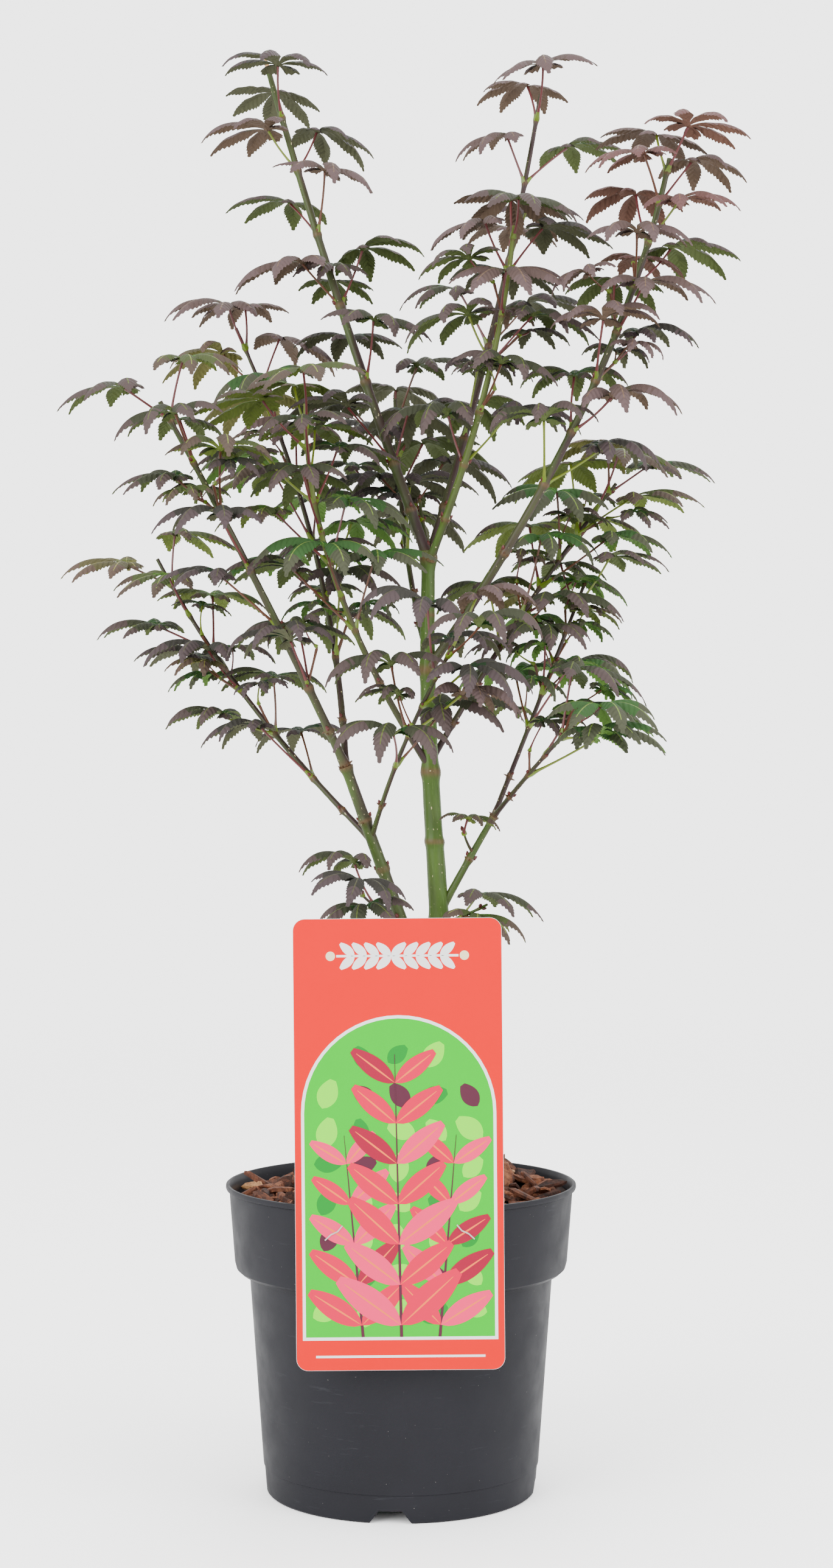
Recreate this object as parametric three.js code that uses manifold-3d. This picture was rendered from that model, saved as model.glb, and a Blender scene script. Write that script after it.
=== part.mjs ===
// A young Japanese maple of several stems, grafted low and grown in a plastic nursery container,
// with bark mulch on its soil and a large plain label hooked on the rim.
//
// Millimetres, +Z up. The origin is the centre of the container's flat underside, the label hangs at -Y.
// Every limb is one tapering solid. Every leader ends in a foliage mass: its own upper stem with pairs of
// leaves on long stalks, each pair turned a quarter from the last, grown by a seeded rule.

import * as THREE from "three";
import { mergeVertices } from "three/addons/utils/BufferGeometryUtils.js";
import Module from "manifold-3d";

const wasm = await Module();
wasm.setup();

// Clearances
const GAP = 0.3; // between pieces that touch on the real thing
const LEAF_ROOM = 1.3; // kept free above and below each blade
const STALK_ROOM = 0.5; // kept free round each stalk

// Container
const POT = {
  height: 166,
  rimRadius: 95,
  rimHeight: 2.8,
  rimWidth: 2.4,
  collarTop: 93.2,
  collarFoot: 90.2,
  collarFootHeight: 125,
  shoulderWidth: 2.6,
  shoulderRise: 1.2,
  stepRadius: 82.2,
  stepHeight: 118.4,
  baseRadius: 72.8,
  wall: 1.5,
  floor: 1.6,
  segments: 32,
};
const DRAIN = {
  count: 4,
  firstTurn: -94, // degrees from +X, so that one notch faces the front
  footWidth: 22,
  headWidth: 12.4,
  height: 6.6,
  innerEnd: 30,
  past: 5, // how far the cut for a channel runs out of the pot
  holeRadius: 5,
  holeAt: 46,
  holeSides: 12,
};

// Soil with its layer of bark mulch
const MULCH = {
  level: 158.5,
  edgeLevel: 156,
  roughness: 3.6,
  rings: 3,
  settled: 0.35, // share of the roughness that is a hollow
  chips: 14,
  chipSize: [18, 10, 4],
  chipSpread: [0.7, 1.25], // of that size
  chipTilt: 0.6, // radians
  chipRise: 0.35, // of a chip's thickness, from the level to its middle
  trunkClear: 22,
  seed: 41,
};

// Hanging label and the hook that carries it on the rim
const LABEL = {
  width: 106,
  bottom: 85,
  top: 314.5,
  thick: 0.7,
  corner: 6,
  centre: -0.5,
  lean: 0.5, // degrees
};
const HOOK = {
  plateWidth: 80,
  plateBottom: 146,
  strapWidth: 24,
  strapDrop: 8,
  thick: 0.8,
};

// Trunk, from its cut at the soil to its fork
const TRUNK = {
  foot: [18, 0, MULCH.level + GAP],
  via: [19.5, 0, 330],
  tip: [14.8, 0, 508.6],
  sway: [3, 0, 0],
  thick: [13.6, 7],
  flare: 5.5,
  flareHeight: 9,
  level: true,
  sides: 10,
  rings: 14,
  crowding: 1.7, // above 1, the rings stand closer towards the foot
};
const BOUGH = { sides: 6, rings: 3 };
const STEM = { sides: 5 };

// Leaves and their stalks, as shares of a leaf's longest lobe unless said otherwise
const LEAF = {
  angles: [-84, -42, 0, 42, 84], // of the lobes from the leaf's heading, degrees
  lengths: [0.78, 0.95, 1, 0.95, 0.78],
  halfWidth: 0.1,
  widestAt: 0.5,
  notch: 0.17,
  heart: 0.7, // half thickness in the middle, mm
};
const STALK = {
  footWidth: 1.5,
  headWidth: 1.2,
  behind: 1.6, // where its head meets the leaf: this far behind and below the leaf's middle
  below: 0.9,
};

// The leaders, each a curve through three places, in the order in which they are grown. The foot is
// inside the limb that carries it, and is cut back to that limb's bark.
// thick: diameter at its foot and tip. bare: the share of its length that is a leafless bough.
// last: where its highest leaf pair stands, as a share of its length. pairs: how many it has.
// turn: the first pair's turn round the stem, in degrees. stalk and leaf: their lengths on a grown
// leaf. claw: how hard the leaves hook down at the lower and the upper end, from 0, flat, to 1.
const LEADERS = {
  left_fork: {
    foot: [22.5, 0, 247],
    via: [-3.6, -6, 318.7],
    tip: [-29.7, -15, 391.6],
    thick: [7.8, 5.8],
    bare: 1,
  },
  low_right: {
    foot: [20.5, 0, 311],
    via: [35.5, 0, 338.5],
    tip: [50.2, 0, 364.2],
    thick: [4.4, 3.4],
    bare: 1,
  },
  left_leader: {
    foot: [14.6, 0, 505],
    via: [-34, 20, 646],
    tip: [-74.3, 35, 779.5],
    thick: [5.8, 3],
    bare: 0.15,
    last: 0.89,
    pairs: 6,
    turn: 20,
    stalk: 37,
    leaf: 46,
    claw: [0.5, 0.1],
    seed: 259,
  },
  centre_leader: {
    foot: [15, 1, 505],
    via: [52.5, 42, 642],
    tip: [78.4, 60, 770.8],
    thick: [4.8, 2.2],
    bare: 0.21,
    last: 0.94,
    pairs: 5,
    turn: 100,
    stalk: 38,
    leaf: 45,
    claw: [0.75, 0.1],
    seed: 227,
  },
  front_leader: {
    foot: [15.5, -3, 503],
    via: [45, -27, 592],
    tip: [60.2, -35, 677.8],
    thick: [4.4, 2.4],
    bare: 0.25,
    last: 0.96,
    pairs: 6,
    turn: 10,
    stalk: 33,
    leaf: 49,
    claw: [0.8, 0.1],
    seed: 395,
  },
  right_leader: {
    foot: [14.6, -1, 444],
    via: [97, -37, 582],
    tip: [141.5, -45, 711],
    thick: [5.2, 2.8],
    bare: 0.32,
    last: 0.97,
    pairs: 8,
    turn: 40,
    stalk: 36,
    leaf: 46,
    claw: [0.9, 0.1],
    seed: 344,
  },
  right_side: {
    foot: [16, 1, 394],
    via: [67.5, 47, 477],
    tip: [122.2, 75, 552.9],
    thick: [3.6, 2],
    bare: 0.35,
    last: 0.96,
    pairs: 7,
    turn: 165,
    stalk: 45,
    leaf: 47,
    claw: [0.5, 0.1],
    seed: 101,
  },
  middle_left: {
    foot: [16.2, -1, 390],
    via: [-34.5, -22, 490],
    tip: [-50.6, -32, 584],
    thick: [3.8, 2.2],
    bare: 0.34,
    last: 0.93,
    pairs: 8,
    turn: 0,
    stalk: 41,
    leaf: 47,
    claw: [0.5, 0.1],
    seed: 170,
  },
  back_leader: {
    foot: [14.4, 1, 452],
    via: [2, 62, 520],
    tip: [-4, 96, 604],
    thick: [3.6, 2.2],
    bare: 0.4,
    last: 0.9,
    pairs: 5,
    turn: 95,
    stalk: 44,
    leaf: 50,
    claw: [0.6, 0.4],
    seed: 210,
  },
  left_front: {
    foot: [-29.7, -15, 391.6],
    via: [-75, -41, 486.5],
    tip: [-125.2, -60, 581.4],
    thick: [4.8, 2.6],
    bare: 0.19,
    last: 0.95,
    pairs: 6,
    turn: 85,
    stalk: 38,
    leaf: 46,
    claw: [0.8, 0.3],
    seed: 380,
  },
  left_back: {
    foot: [-29.7, -15, 391.6],
    via: [-49.5, 46, 516],
    tip: [-94.4, 72, 641],
    thick: [3.8, 1.9],
    bare: 0.21,
    last: 0.95,
    pairs: 7,
    turn: 70,
    stalk: 42,
    leaf: 48,
    claw: [0.6, 0.3],
    seed: 104,
  },
  left_side: {
    foot: [-16, -9, 352],
    via: [-86.5, 30, 430.5],
    tip: [-137.2, 52, 508.1],
    thick: [3.4, 2],
    bare: 0.18,
    last: 0.9,
    pairs: 6,
    turn: 85,
    stalk: 38,
    leaf: 45,
    claw: [0.7, 0.15],
    seed: 297,
  },
  left_inner: {
    foot: [-16, -9, 352],
    via: [2, -47, 403],
    tip: [27.3, -78, 453.2],
    thick: [2.8, 1.8],
    bare: 0.36,
    last: 0.95,
    pairs: 5,
    turn: 90,
    stalk: 40,
    leaf: 52,
    claw: [0.9, 0.8],
    seed: 64,
  },
  low_right_back: {
    foot: [50.2, 0, 364.2],
    via: [78, 32, 432],
    tip: [104.9, 55, 499.4],
    thick: [2.9, 1.8],
    bare: 0.33,
    last: 0.96,
    pairs: 6,
    turn: 130,
    stalk: 41,
    leaf: 45,
    claw: [0.9, 0.2],
    seed: 381,
  },
  low_right_front: {
    foot: [50.2, 0, 364.2],
    via: [72, -32, 392],
    tip: [96, -65, 419.7],
    thick: [2.7, 1.8],
    bare: 0.38,
    last: 0.9,
    pairs: 4,
    turn: 25,
    stalk: 38,
    leaf: 48,
    claw: [0.6, 0.4],
    seed: 334,
  },
  base_left: {
    foot: [-0.8, -6, 309],
    via: [-13, -18, 316],
    tip: [-22, -30, 325],
    thick: [2, 1.4],
    bare: 0,
    last: 0.9,
    pairs: 3,
    turn: 145,
    stalk: 26,
    leaf: 40,
    claw: [0.9, 0.4],
    seed: 320,
  },
  base_right: {
    foot: [20.3, 0, 306],
    via: [33, -14, 311],
    tip: [46, -28, 318],
    thick: [2, 1.4],
    bare: 0,
    last: 0.85,
    pairs: 3,
    turn: 35,
    stalk: 18,
    leaf: 41,
    claw: [0.5, 0.3],
    seed: 41,
  },
  fork_tuft: {
    foot: [14.8, 0, 508.6],
    via: [12, 8, 524],
    tip: [10, 14, 538],
    thick: [2.2, 1.6],
    bare: 0,
    last: 0.96,
    pairs: 3,
    turn: 110,
    stalk: 40,
    leaf: 52,
    claw: [0.4, 0.5],
    seed: 240,
  },
  low_spur: {
    foot: [39, 0, 345],
    via: [36, -5, 350],
    tip: [34, -8, 356],
    thick: [1.5, 1.2],
    bare: 0,
    last: 0.95,
    pairs: 1,
    turn: 105,
    stalk: 14,
    leaf: 30,
    claw: [0.2, 0.5],
    seed: 138,
  },
};

// The growing rule's numbers: angles in degrees
const RULE = {
  quarter: 90,
  firstPair: 0.03, // share of the leader between its bough and its first pair
  crowding: 1.15, // above 1, pairs stand closer towards the tip
  young: { stalk: 0.75, leaf: 0.88 }, // at the tip, beside a grown one
  fromStem: 42, // between a stalk and its stem
  towardsLight: 0.3, // how much a stalk turns up
  spread: { turn: 14, fromStem: 8, stalk: 0.16, leaf: 0.12, tilt: 11, claw: 0.12 },
  tries: [0, 20, -20, 40, -40, 62, -62],
  flatRise: 9,
  clawRise: 30,
  flatTurn: 34,
  clawTurn: 88,
  outwardTilt: 7,
  flatFold: 16,
  clawFold: 26,
};

const COLOURS = {
  pot: 0x3b3d43,
  mulch: 0x5a3423,
  label: 0xf0694c,
  hook: 0xd9d4cc,
  trunk: 0x4c6b35,
  bough: 0x4f5238,
  foliage: 0x4a4440,
};

const rad = (degrees) => (degrees * Math.PI) / 180;
const mix = (a, b, t) => a + (b - a) * t;
const vec = (p) => new THREE.Vector3(...p);
const UP = new THREE.Vector3(0, 0, 1);

// A stream of random numbers from 0 to 1, the same for the same seed.
function stream(seed) {
  const modulus = 2147483647;
  let state = seed * 7919;
  const next = () => (state = (state * 16807) % modulus) / modulus;
  next();
  return next;
}

// Turning three.js geometry into solids and back

function solidOf(geometry) {
  const bare = geometry.index ? geometry.toNonIndexed() : geometry.clone();
  bare.deleteAttribute("normal");
  bare.deleteAttribute("uv");
  const merged = mergeVertices(bare, 1e-4);
  return new wasm.Manifold(
    new wasm.Mesh({
      numProp: 3,
      vertProperties: merged.attributes.position.array,
      triVerts: new Uint32Array(merged.index.array),
    }),
  );
}

function geometryOf(solid) {
  const mesh = solid.getMesh();
  const geometry = new THREE.BufferGeometry();
  geometry.setAttribute(
    "position",
    new THREE.BufferAttribute(mesh.vertProperties.slice(), 3),
  );
  geometry.setIndex(new THREE.BufferAttribute(mesh.triVerts.slice(), 1));
  const faceted = geometry.toNonIndexed();
  faceted.computeVertexNormals();
  return faceted;
}

function joined(solids) {
  return solids.reduce((whole, next) => whole.add(next));
}

function largestPiece(solid) {
  const pieces = solid.decompose();
  return pieces.reduce((best, p) => (p.volume() > best.volume() ? p : best));
}

// Limbs

// Where a limb's centre line is at t, from 0 at its foot to 1 at its tip.
function placeOn(limb, t) {
  const foot = vec(limb.foot);
  const tip = vec(limb.tip);
  const bow = vec(limb.via).sub(foot.clone().add(tip).multiplyScalar(0.5));
  const place = foot.lerp(tip, t).addScaledVector(bow, 4 * t * (1 - t));
  if (limb.sway) place.addScaledVector(vec(limb.sway), Math.sin(2 * Math.PI * t));
  return place;
}

function directionOn(limb, t) {
  const step = 0.005;
  const a = placeOn(limb, Math.max(0, t - step));
  const b = placeOn(limb, Math.min(1, t + step));
  return b.sub(a).normalize();
}

function radiusOn(limb, t) {
  let radius = mix(limb.thick[0], limb.thick[1], t) / 2;
  if (limb.flare) {
    const height = placeOn(limb, t).z - limb.foot[2];
    radius += limb.flare * Math.exp(-height / limb.flareHeight);
  }
  return radius;
}

// Two directions square to a limb at t, or level ones for the trunk, whose cut at the soil is level.
function acrossOn(limb, t) {
  const along = limb.level ? UP : directionOn(limb, t);
  const side = new THREE.Vector3(0, 1, 0).cross(along).normalize();
  return [side, along.clone().cross(side)];
}

// A cylinder bent and tapered to follow a limb from t0 to t1, fatter by extra.
function tube(limb, t0, t1, { sides, rings, crowding = 1, extra = 0 }) {
  const geometry = new THREE.CylinderGeometry(1, 1, 1, sides, rings);
  const position = geometry.attributes.position;
  const corner = new THREE.Vector3();
  for (let i = 0; i < position.count; i++) {
    corner.fromBufferAttribute(position, i);
    const t = mix(t0, t1, (corner.y + 0.5) ** crowding);
    const [side, front] = acrossOn(limb, t);
    const radius = radiusOn(limb, t) + extra;
    const place = placeOn(limb, t)
      .addScaledVector(side, corner.z * radius)
      .addScaledVector(front, corner.x * radius);
    position.setXYZ(i, place.x, place.y, place.z);
  }
  return solidOf(geometry);
}

function lengthOf(limb) {
  const steps = 24;
  let length = 0;
  for (let i = 0; i < steps; i++) {
    length += placeOn(limb, i / steps).distanceTo(placeOn(limb, (i + 1) / steps));
  }
  return length;
}

// Leaves

// A point on a lobe's midrib: how far out and how high it is at share f of the lobe.
function arch(length, rise, turn, f) {
  const slope = rise - turn * f;
  return {
    out: (length / turn) * (Math.sin(rise) - Math.sin(slope)),
    up: (length / turn) * (Math.cos(slope) - Math.cos(rise)),
    slope,
  };
}

// A closed leaf of five lobes and its three-sided stalk, in one body. Each lobe is a ridge that rises,
// hooks down and folds to both sides.
function leafGeometry(leaf) {
  const { centre, heading, normal, size } = leaf;
  const side = normal.clone().cross(heading);
  const rise = rad(mix(RULE.flatRise, RULE.clawRise, leaf.claw));
  const turn = rad(mix(RULE.flatTurn, RULE.clawTurn, leaf.claw) + RULE.flatRise);
  const fold = Math.tan(rad(mix(RULE.flatFold, RULE.clawFold, leaf.claw)));
  const corners = [];
  const faces = [];
  const add = (point) => corners.push(point) - 1;
  const towards = (angle) =>
    heading
      .clone()
      .multiplyScalar(Math.cos(angle))
      .addScaledVector(side, Math.sin(angle));
  const at = (angle, length, f) => {
    const { out, up } = arch(length, rise, turn, f);
    return centre.clone().addScaledVector(towards(angle), out).addScaledVector(normal, up);
  };

  const top = add(centre.clone().addScaledVector(normal, LEAF.heart));
  const under = add(centre.clone().addScaledVector(normal, -LEAF.heart));
  const angles = LEAF.angles.map(rad);
  const step = angles[1] - angles[0];
  const notches = [angles[0] - step / 2, ...angles.map((a) => a + step / 2)].map(
    (angle) => add(at(angle, size, LEAF.notch)),
  );
  angles.forEach((angle, i) => {
    const length = size * LEAF.lengths[i];
    const { slope } = arch(length, rise, turn, LEAF.widestAt);
    const across = towards(angle + Math.PI / 2);
    const width = LEAF.halfWidth * size;
    const ridge = at(angle, length, LEAF.widestAt);
    const down = normal
      .clone()
      .multiplyScalar(-Math.cos(slope))
      .addScaledVector(towards(angle), Math.sin(slope));
    const edge = (sign) =>
      ridge
        .clone()
        .addScaledVector(across, sign * width)
        .addScaledVector(down, width * fold);
    const right = add(edge(-1));
    const tip = add(at(angle, length, 1));
    const left = add(edge(1));
    const crest = add(ridge.clone().addScaledVector(down, -LEAF.heart / 2));
    const [before, after] = [notches[i], notches[i + 1]];
    const outline = [before, right, tip, left, after];
    faces.push([top, before, crest], [after, top, crest]);
    for (let k = 0; k < 4; k++) faces.push([outline[k], outline[k + 1], crest]);
    faces.push([under, right, before], [under, left, right]);
    faces.push([right, left, tip], [under, after, left]);
  });

  const [first, last] = [notches[0], notches[notches.length - 1]];
  const { node, neck } = leaf;
  const line = neck.clone().sub(node).normalize();
  const ring = (place, along, width) => {
    const left = side.clone().projectOnPlane(along).normalize();
    const up = along.clone().cross(left);
    return [0, 120, 240].map((turned) =>
      add(
        place
          .clone()
          .addScaledVector(up, (Math.cos(rad(turned)) * width) / 2)
          .addScaledVector(left, (Math.sin(rad(turned)) * width) / 2),
      ),
    );
  };
  const head = ring(neck, line.clone().add(heading).normalize(), STALK.headWidth);
  const foot = ring(node, line, STALK.footWidth);
  faces.push([top, last, head[1]], [last, under, head[1]]);
  faces.push([under, first, head[2]], [first, top, head[2]]);
  faces.push([top, head[1], head[0]], [under, head[2], head[1]], [top, head[0], head[2]]);
  for (let k = 0; k < 3; k++) {
    const next = (k + 1) % 3;
    faces.push([head[k], head[next], foot[next]], [head[k], foot[next], foot[k]]);
  }
  faces.push(foot);

  const geometry = new THREE.BufferGeometry().setFromPoints(corners);
  geometry.setIndex(faces.flat());
  return geometry;
}

// A rod round the stalk's middle stretch, the room that it needs.
function stalkRoom(leaf, from, to) {
  const foot = leaf.node.clone().lerp(leaf.neck, from);
  const head = leaf.node.clone().lerp(leaf.neck, to);
  const line = head.clone().sub(foot);
  const radius = STALK.footWidth / 2 + STALK_ROOM;
  const geometry = new THREE.CylinderGeometry(radius, radius, line.length(), 3, 1);
  const turn = new THREE.Quaternion().setFromUnitVectors(
    new THREE.Vector3(0, 1, 0),
    line.normalize(),
  );
  const middle = foot.add(head).multiplyScalar(0.5);
  geometry.applyQuaternion(turn).translate(middle.x, middle.y, middle.z);
  return solidOf(geometry);
}

// Where the pairs stand on a leader, from 0 at its foot to 1 at its tip.
function pairPlaces(leader) {
  const first = leader.bare + RULE.firstPair;
  return Array.from({ length: leader.pairs }, (_, i) => {
    const share = leader.pairs > 1 ? i / (leader.pairs - 1) : 1;
    return mix(first, leader.last, 1 - (1 - share) ** RULE.crowding);
  });
}

// The random draws of one leaf, taken in one order whether or not the leaf finds room.
function drawsOf(random) {
  const either = () => 2 * random() - 1;
  return {
    turn: either() * RULE.spread.turn,
    fromStem: either() * RULE.spread.fromStem,
    stalk: 1 + either() * RULE.spread.stalk,
    leaf: 1 + either() * RULE.spread.leaf,
    tilt: either() * RULE.spread.tilt,
    roll: either() * RULE.spread.tilt,
    claw: either() * RULE.spread.claw,
    heading: either() * RULE.spread.turn,
  };
}

// One leaf of the pair at t, turned round the stem by angle degrees.
function leafAt(leader, t, angle, draws) {
  const share = (t - leader.bare) / (1 - leader.bare);
  const along = directionOn(leader, t);
  const [side, front] = acrossOn(leader, t);
  const turned = rad(angle + draws.turn);
  const outward = side
    .multiplyScalar(Math.cos(turned))
    .addScaledVector(front, Math.sin(turned));
  const lean = rad(RULE.fromStem + draws.fromStem);
  const stalkLine = along
    .multiplyScalar(Math.cos(lean))
    .addScaledVector(outward, Math.sin(lean))
    .addScaledVector(UP, RULE.towardsLight)
    .normalize();
  const node = placeOn(leader, t);
  const stalk = leader.stalk * draws.stalk * mix(1, RULE.young.stalk, share);
  const centre = node.clone().addScaledVector(stalkLine, stalk);

  const heading = stalkLine.clone().setZ(0).normalize();
  heading.applyAxisAngle(UP, rad(draws.heading));
  const sideways = UP.clone().cross(heading);
  heading.applyAxisAngle(sideways, rad(RULE.outwardTilt + draws.tilt));
  const normal = heading.clone().cross(sideways).applyAxisAngle(heading, rad(draws.roll));
  const claw = mix(leader.claw[0], leader.claw[1], share) + draws.claw;
  return {
    node,
    centre,
    neck: centre
      .clone()
      .addScaledVector(heading, -STALK.behind)
      .addScaledVector(normal, -STALK.below),
    heading,
    normal,
    size: leader.leaf * draws.leaf * mix(1, RULE.young.leaf, share),
    claw: Math.min(1, Math.max(0, claw)),
  };
}

// Room that is taken, so that no leaf touches a limb, another leaf, the pot or the label

const taken = [];

function boxesMeet(a, b) {
  return [0, 1, 2].every((k) => a.min[k] <= b.max[k] && b.min[k] <= a.max[k]);
}

function take(solid, owner) {
  taken.push({ solid, box: solid.boundingBox(), owner });
}

function isFree(solid, ignored = []) {
  const box = solid.boundingBox();
  return taken.every(
    (other) =>
      ignored.includes(other.owner) ||
      !boxesMeet(box, other.box) ||
      solid.intersect(other.solid).isEmpty(),
  );
}

function raised(leaf, height) {
  const lift = (point) => point.clone().addScaledVector(leaf.normal, height);
  return { ...leaf, node: lift(leaf.node), neck: lift(leaf.neck), centre: lift(leaf.centre) };
}

// A leaf's solid where it finds room, and otherwise nothing. Near its foot it may meet its own stem
// and its pair's other stalk.
function leafInRoom(leaf, stem, pair) {
  const bladeOnly = { ...leaf, node: leaf.node.clone().lerp(leaf.neck, 0.85) };
  const blades = [0, LEAF_ROOM, -LEAF_ROOM].map((h) => solidOf(leafGeometry(raised(bladeOnly, h))));
  if (!blades.every((blade) => isFree(blade))) return null;
  if (!isFree(stalkRoom(leaf, 0, 0.3), [stem, pair])) return null;
  const outer = stalkRoom(leaf, 0.3, 0.9);
  if (!isFree(outer)) return null;
  take(blades[0], null);
  take(stalkRoom(leaf, 0, 0.3), pair);
  take(outer, null);
  return solidOf(leafGeometry(leaf));
}

// A mass of foliage: the leader's upper stem with every leaf that finds room, fused.
function growMass(name, leader, limbs) {
  const random = stream(leader.seed);
  const parts = [stemOf(leader, limbs)];
  pairPlaces(leader).forEach((t, pair) => {
    for (const half of [0, 180]) {
      const draws = drawsOf(random);
      for (const extraTurn of RULE.tries) {
        const angle = leader.turn + pair * RULE.quarter + half + extraTurn;
        const leaf = leafAt(leader, t, angle, draws);
        const solid = leafInRoom(leaf, name, name + pair);
        if (!solid) continue;
        parts.push(solid);
        break;
      }
    }
  });
  return joined(parts);
}

function stemOf(leader, limbs) {
  const rings = Math.ceil(leader.pairs / 2);
  if (leader.bare === 0) return clearOf(tube(leader, 0, 1, { ...STEM, rings }), limbs);
  return tube(leader, leader.bare + GAP / lengthOf(leader), 1, { ...STEM, rings });
}

// A limb's solid, with its foot cut back to leave a gap round the limbs that are already there.
function clearOf(solid, limbs) {
  let left = solid;
  for (const other of limbs.values()) {
    if (boxesMeet(left.boundingBox(), other.grown.boundingBox())) {
      left = left.subtract(other.grown);
    }
  }
  return largestPiece(left);
}

function growLimb(limb, end, limbs, options) {
  const solid = clearOf(tube(limb, 0, end, options), limbs);
  const grown = tube(limb, 0, end + GAP / lengthOf(limb), { ...options, extra: GAP });
  return { solid, grown };
}

// Container

function potSolid() {
  const p = POT;
  const bead = p.rimRadius - p.rimWidth;
  const outside = [
    [0, 0],
    [p.baseRadius, 0],
    [p.stepRadius, p.stepHeight],
    [p.collarFoot - p.shoulderWidth, p.stepHeight + p.shoulderRise],
    [p.collarFoot, p.collarFootHeight],
    [p.collarTop, p.height - p.rimHeight],
    [p.rimRadius, p.height - p.rimHeight],
    [p.rimRadius - GAP, p.height],
    [0, p.height],
  ];
  const inside = [
    [0, p.floor],
    [p.baseRadius - p.wall, p.floor],
    [p.stepRadius - p.wall, p.stepHeight + p.wall],
    [p.collarFoot - p.wall - p.shoulderWidth, p.stepHeight + p.wall + p.shoulderRise],
    [p.collarFoot - p.wall, p.collarFootHeight + p.wall],
    [p.collarTop - p.wall, p.height - p.rimHeight],
    [bead, p.height + 1],
    [0, p.height + 1],
  ];
  let pot = turned(outside).subtract(turned(inside));
  for (const groove of drainGrooves(p.wall)) pot = pot.add(groove);
  for (const groove of drainGrooves(0)) pot = pot.subtract(groove);
  for (let i = 0; i < DRAIN.count; i++) {
    const length = 2 * (DRAIN.height + DRAIN.past);
    const hole = new THREE.CylinderGeometry(DRAIN.holeRadius, DRAIN.holeRadius, length, DRAIN.holeSides);
    hole.rotateX(Math.PI / 2).translate(DRAIN.holeAt, 0, 0).rotateZ(drainTurn(i));
    pot = pot.subtract(solidOf(hole));
  }
  return pot;
}

function turned(profile) {
  return solidOf(turnedGeometry(profile));
}

function turnedGeometry(profile) {
  const points = profile.map(([x, y]) => new THREE.Vector2(x, y));
  const geometry = new THREE.LatheGeometry(points, POT.segments);
  return geometry.rotateX(Math.PI / 2).rotateZ(Math.PI / POT.segments);
}

// The inner radius of the collar at a height, across its flats.
function insideCollar(height) {
  const p = POT;
  const share = (height - p.collarFootHeight) / (p.height - p.rimHeight - p.collarFootHeight);
  const radius = mix(p.collarFoot, p.collarTop, share) - p.wall;
  return radius * Math.cos(Math.PI / p.segments);
}

function drainTurn(i) {
  return rad(DRAIN.firstTurn + (360 / DRAIN.count) * i);
}

// The channels under the floor, from the notches in the foot towards the middle: their outer shape
// where wall is a thickness, and the space in them, which runs past the pot, where it is 0.
function drainGrooves(wall) {
  const d = DRAIN;
  const past = wall ? 0 : d.past;
  const foot = d.footWidth / 2 + wall;
  const head = d.headWidth / 2 + wall;
  const below = past ? [[-foot, -past], [foot, -past]] : [];
  const outline = [[-foot, 0], ...below, [foot, 0], [head, d.height + wall], [-head, d.height + wall]];
  const shape = new THREE.Shape(outline.map(([x, y]) => new THREE.Vector2(x, y)));
  const depth = POT.baseRadius + past - d.innerEnd + wall;
  return Array.from({ length: d.count }, (_, i) => {
    const geometry = new THREE.ExtrudeGeometry(shape, { depth, bevelEnabled: false });
    geometry
      .rotateX(Math.PI / 2)
      .rotateZ(Math.PI / 2)
      .translate(d.innerEnd - wall, 0, 0)
      .rotateZ(drainTurn(i));
    return solidOf(geometry);
  });
}

// Soil up to the mulch, whose top is rough and carries loose chips of bark
function mulchSolid() {
  const random = stream(MULCH.seed);
  const p = POT;
  const edge = insideCollar(MULCH.edgeLevel) - GAP;
  const wallLine = [
    [p.baseRadius - p.wall - GAP, p.floor + GAP],
    [p.stepRadius - p.wall - GAP, p.stepHeight + p.wall + GAP],
    [p.collarFoot - p.wall - p.shoulderWidth - GAP, p.stepHeight + p.wall + p.shoulderRise + GAP],
    [p.collarFoot - p.wall - GAP, p.collarFootHeight + p.wall],
    [edge, MULCH.edgeLevel],
  ];
  const surface = Array.from({ length: MULCH.rings }, (_, i) => [
    edge * (1 - (i + 1) / (MULCH.rings + 1)),
    MULCH.level,
  ]);
  const profile = [[0, p.floor + GAP], ...wallLine, ...surface, [0, MULCH.level]];
  const merged = mergeVertices(stripped(turnedGeometry(profile)), 1e-3);
  const position = merged.attributes.position;
  for (let i = 0; i < position.count; i++) {
    const [x, y, z] = [position.getX(i), position.getY(i), position.getZ(i)];
    const fromTrunk = Math.hypot(x - TRUNK.foot[0], y - TRUNK.foot[1]);
    if (z <= MULCH.edgeLevel || fromTrunk < MULCH.trunkClear) continue;
    position.setZ(i, z + (random() - MULCH.settled) * MULCH.roughness);
  }
  let mulch = solidOf(merged);
  for (let i = 0; i < MULCH.chips; i++) mulch = mulch.add(chip(random, edge));
  for (const groove of drainGrooves(p.wall + GAP)) mulch = mulch.subtract(groove);
  return largestPiece(mulch);
}

function stripped(geometry) {
  geometry.deleteAttribute("normal");
  geometry.deleteAttribute("uv");
  return geometry;
}

function chip(random, edge) {
  const m = MULCH;
  const [length, width, thick] = m.chipSize.map((s) => s * mix(...m.chipSpread, random()));
  const geometry = new THREE.BoxGeometry(length, width, thick);
  const tilt = () => mix(-m.chipTilt, m.chipTilt, random());
  geometry.rotateX(tilt()).rotateY(tilt()).rotateZ(random() * Math.PI);
  const reach = edge - Math.hypot(length, width) / 2 - GAP;
  const away = mix(m.trunkClear, reach, Math.sqrt(random()));
  const angle = random() * 2 * Math.PI;
  geometry.translate(
    away * Math.cos(angle) + TRUNK.foot[0] * (1 - away / reach),
    away * Math.sin(angle),
    m.level + thick * m.chipRise,
  );
  return solidOf(geometry);
}

// Label

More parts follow.
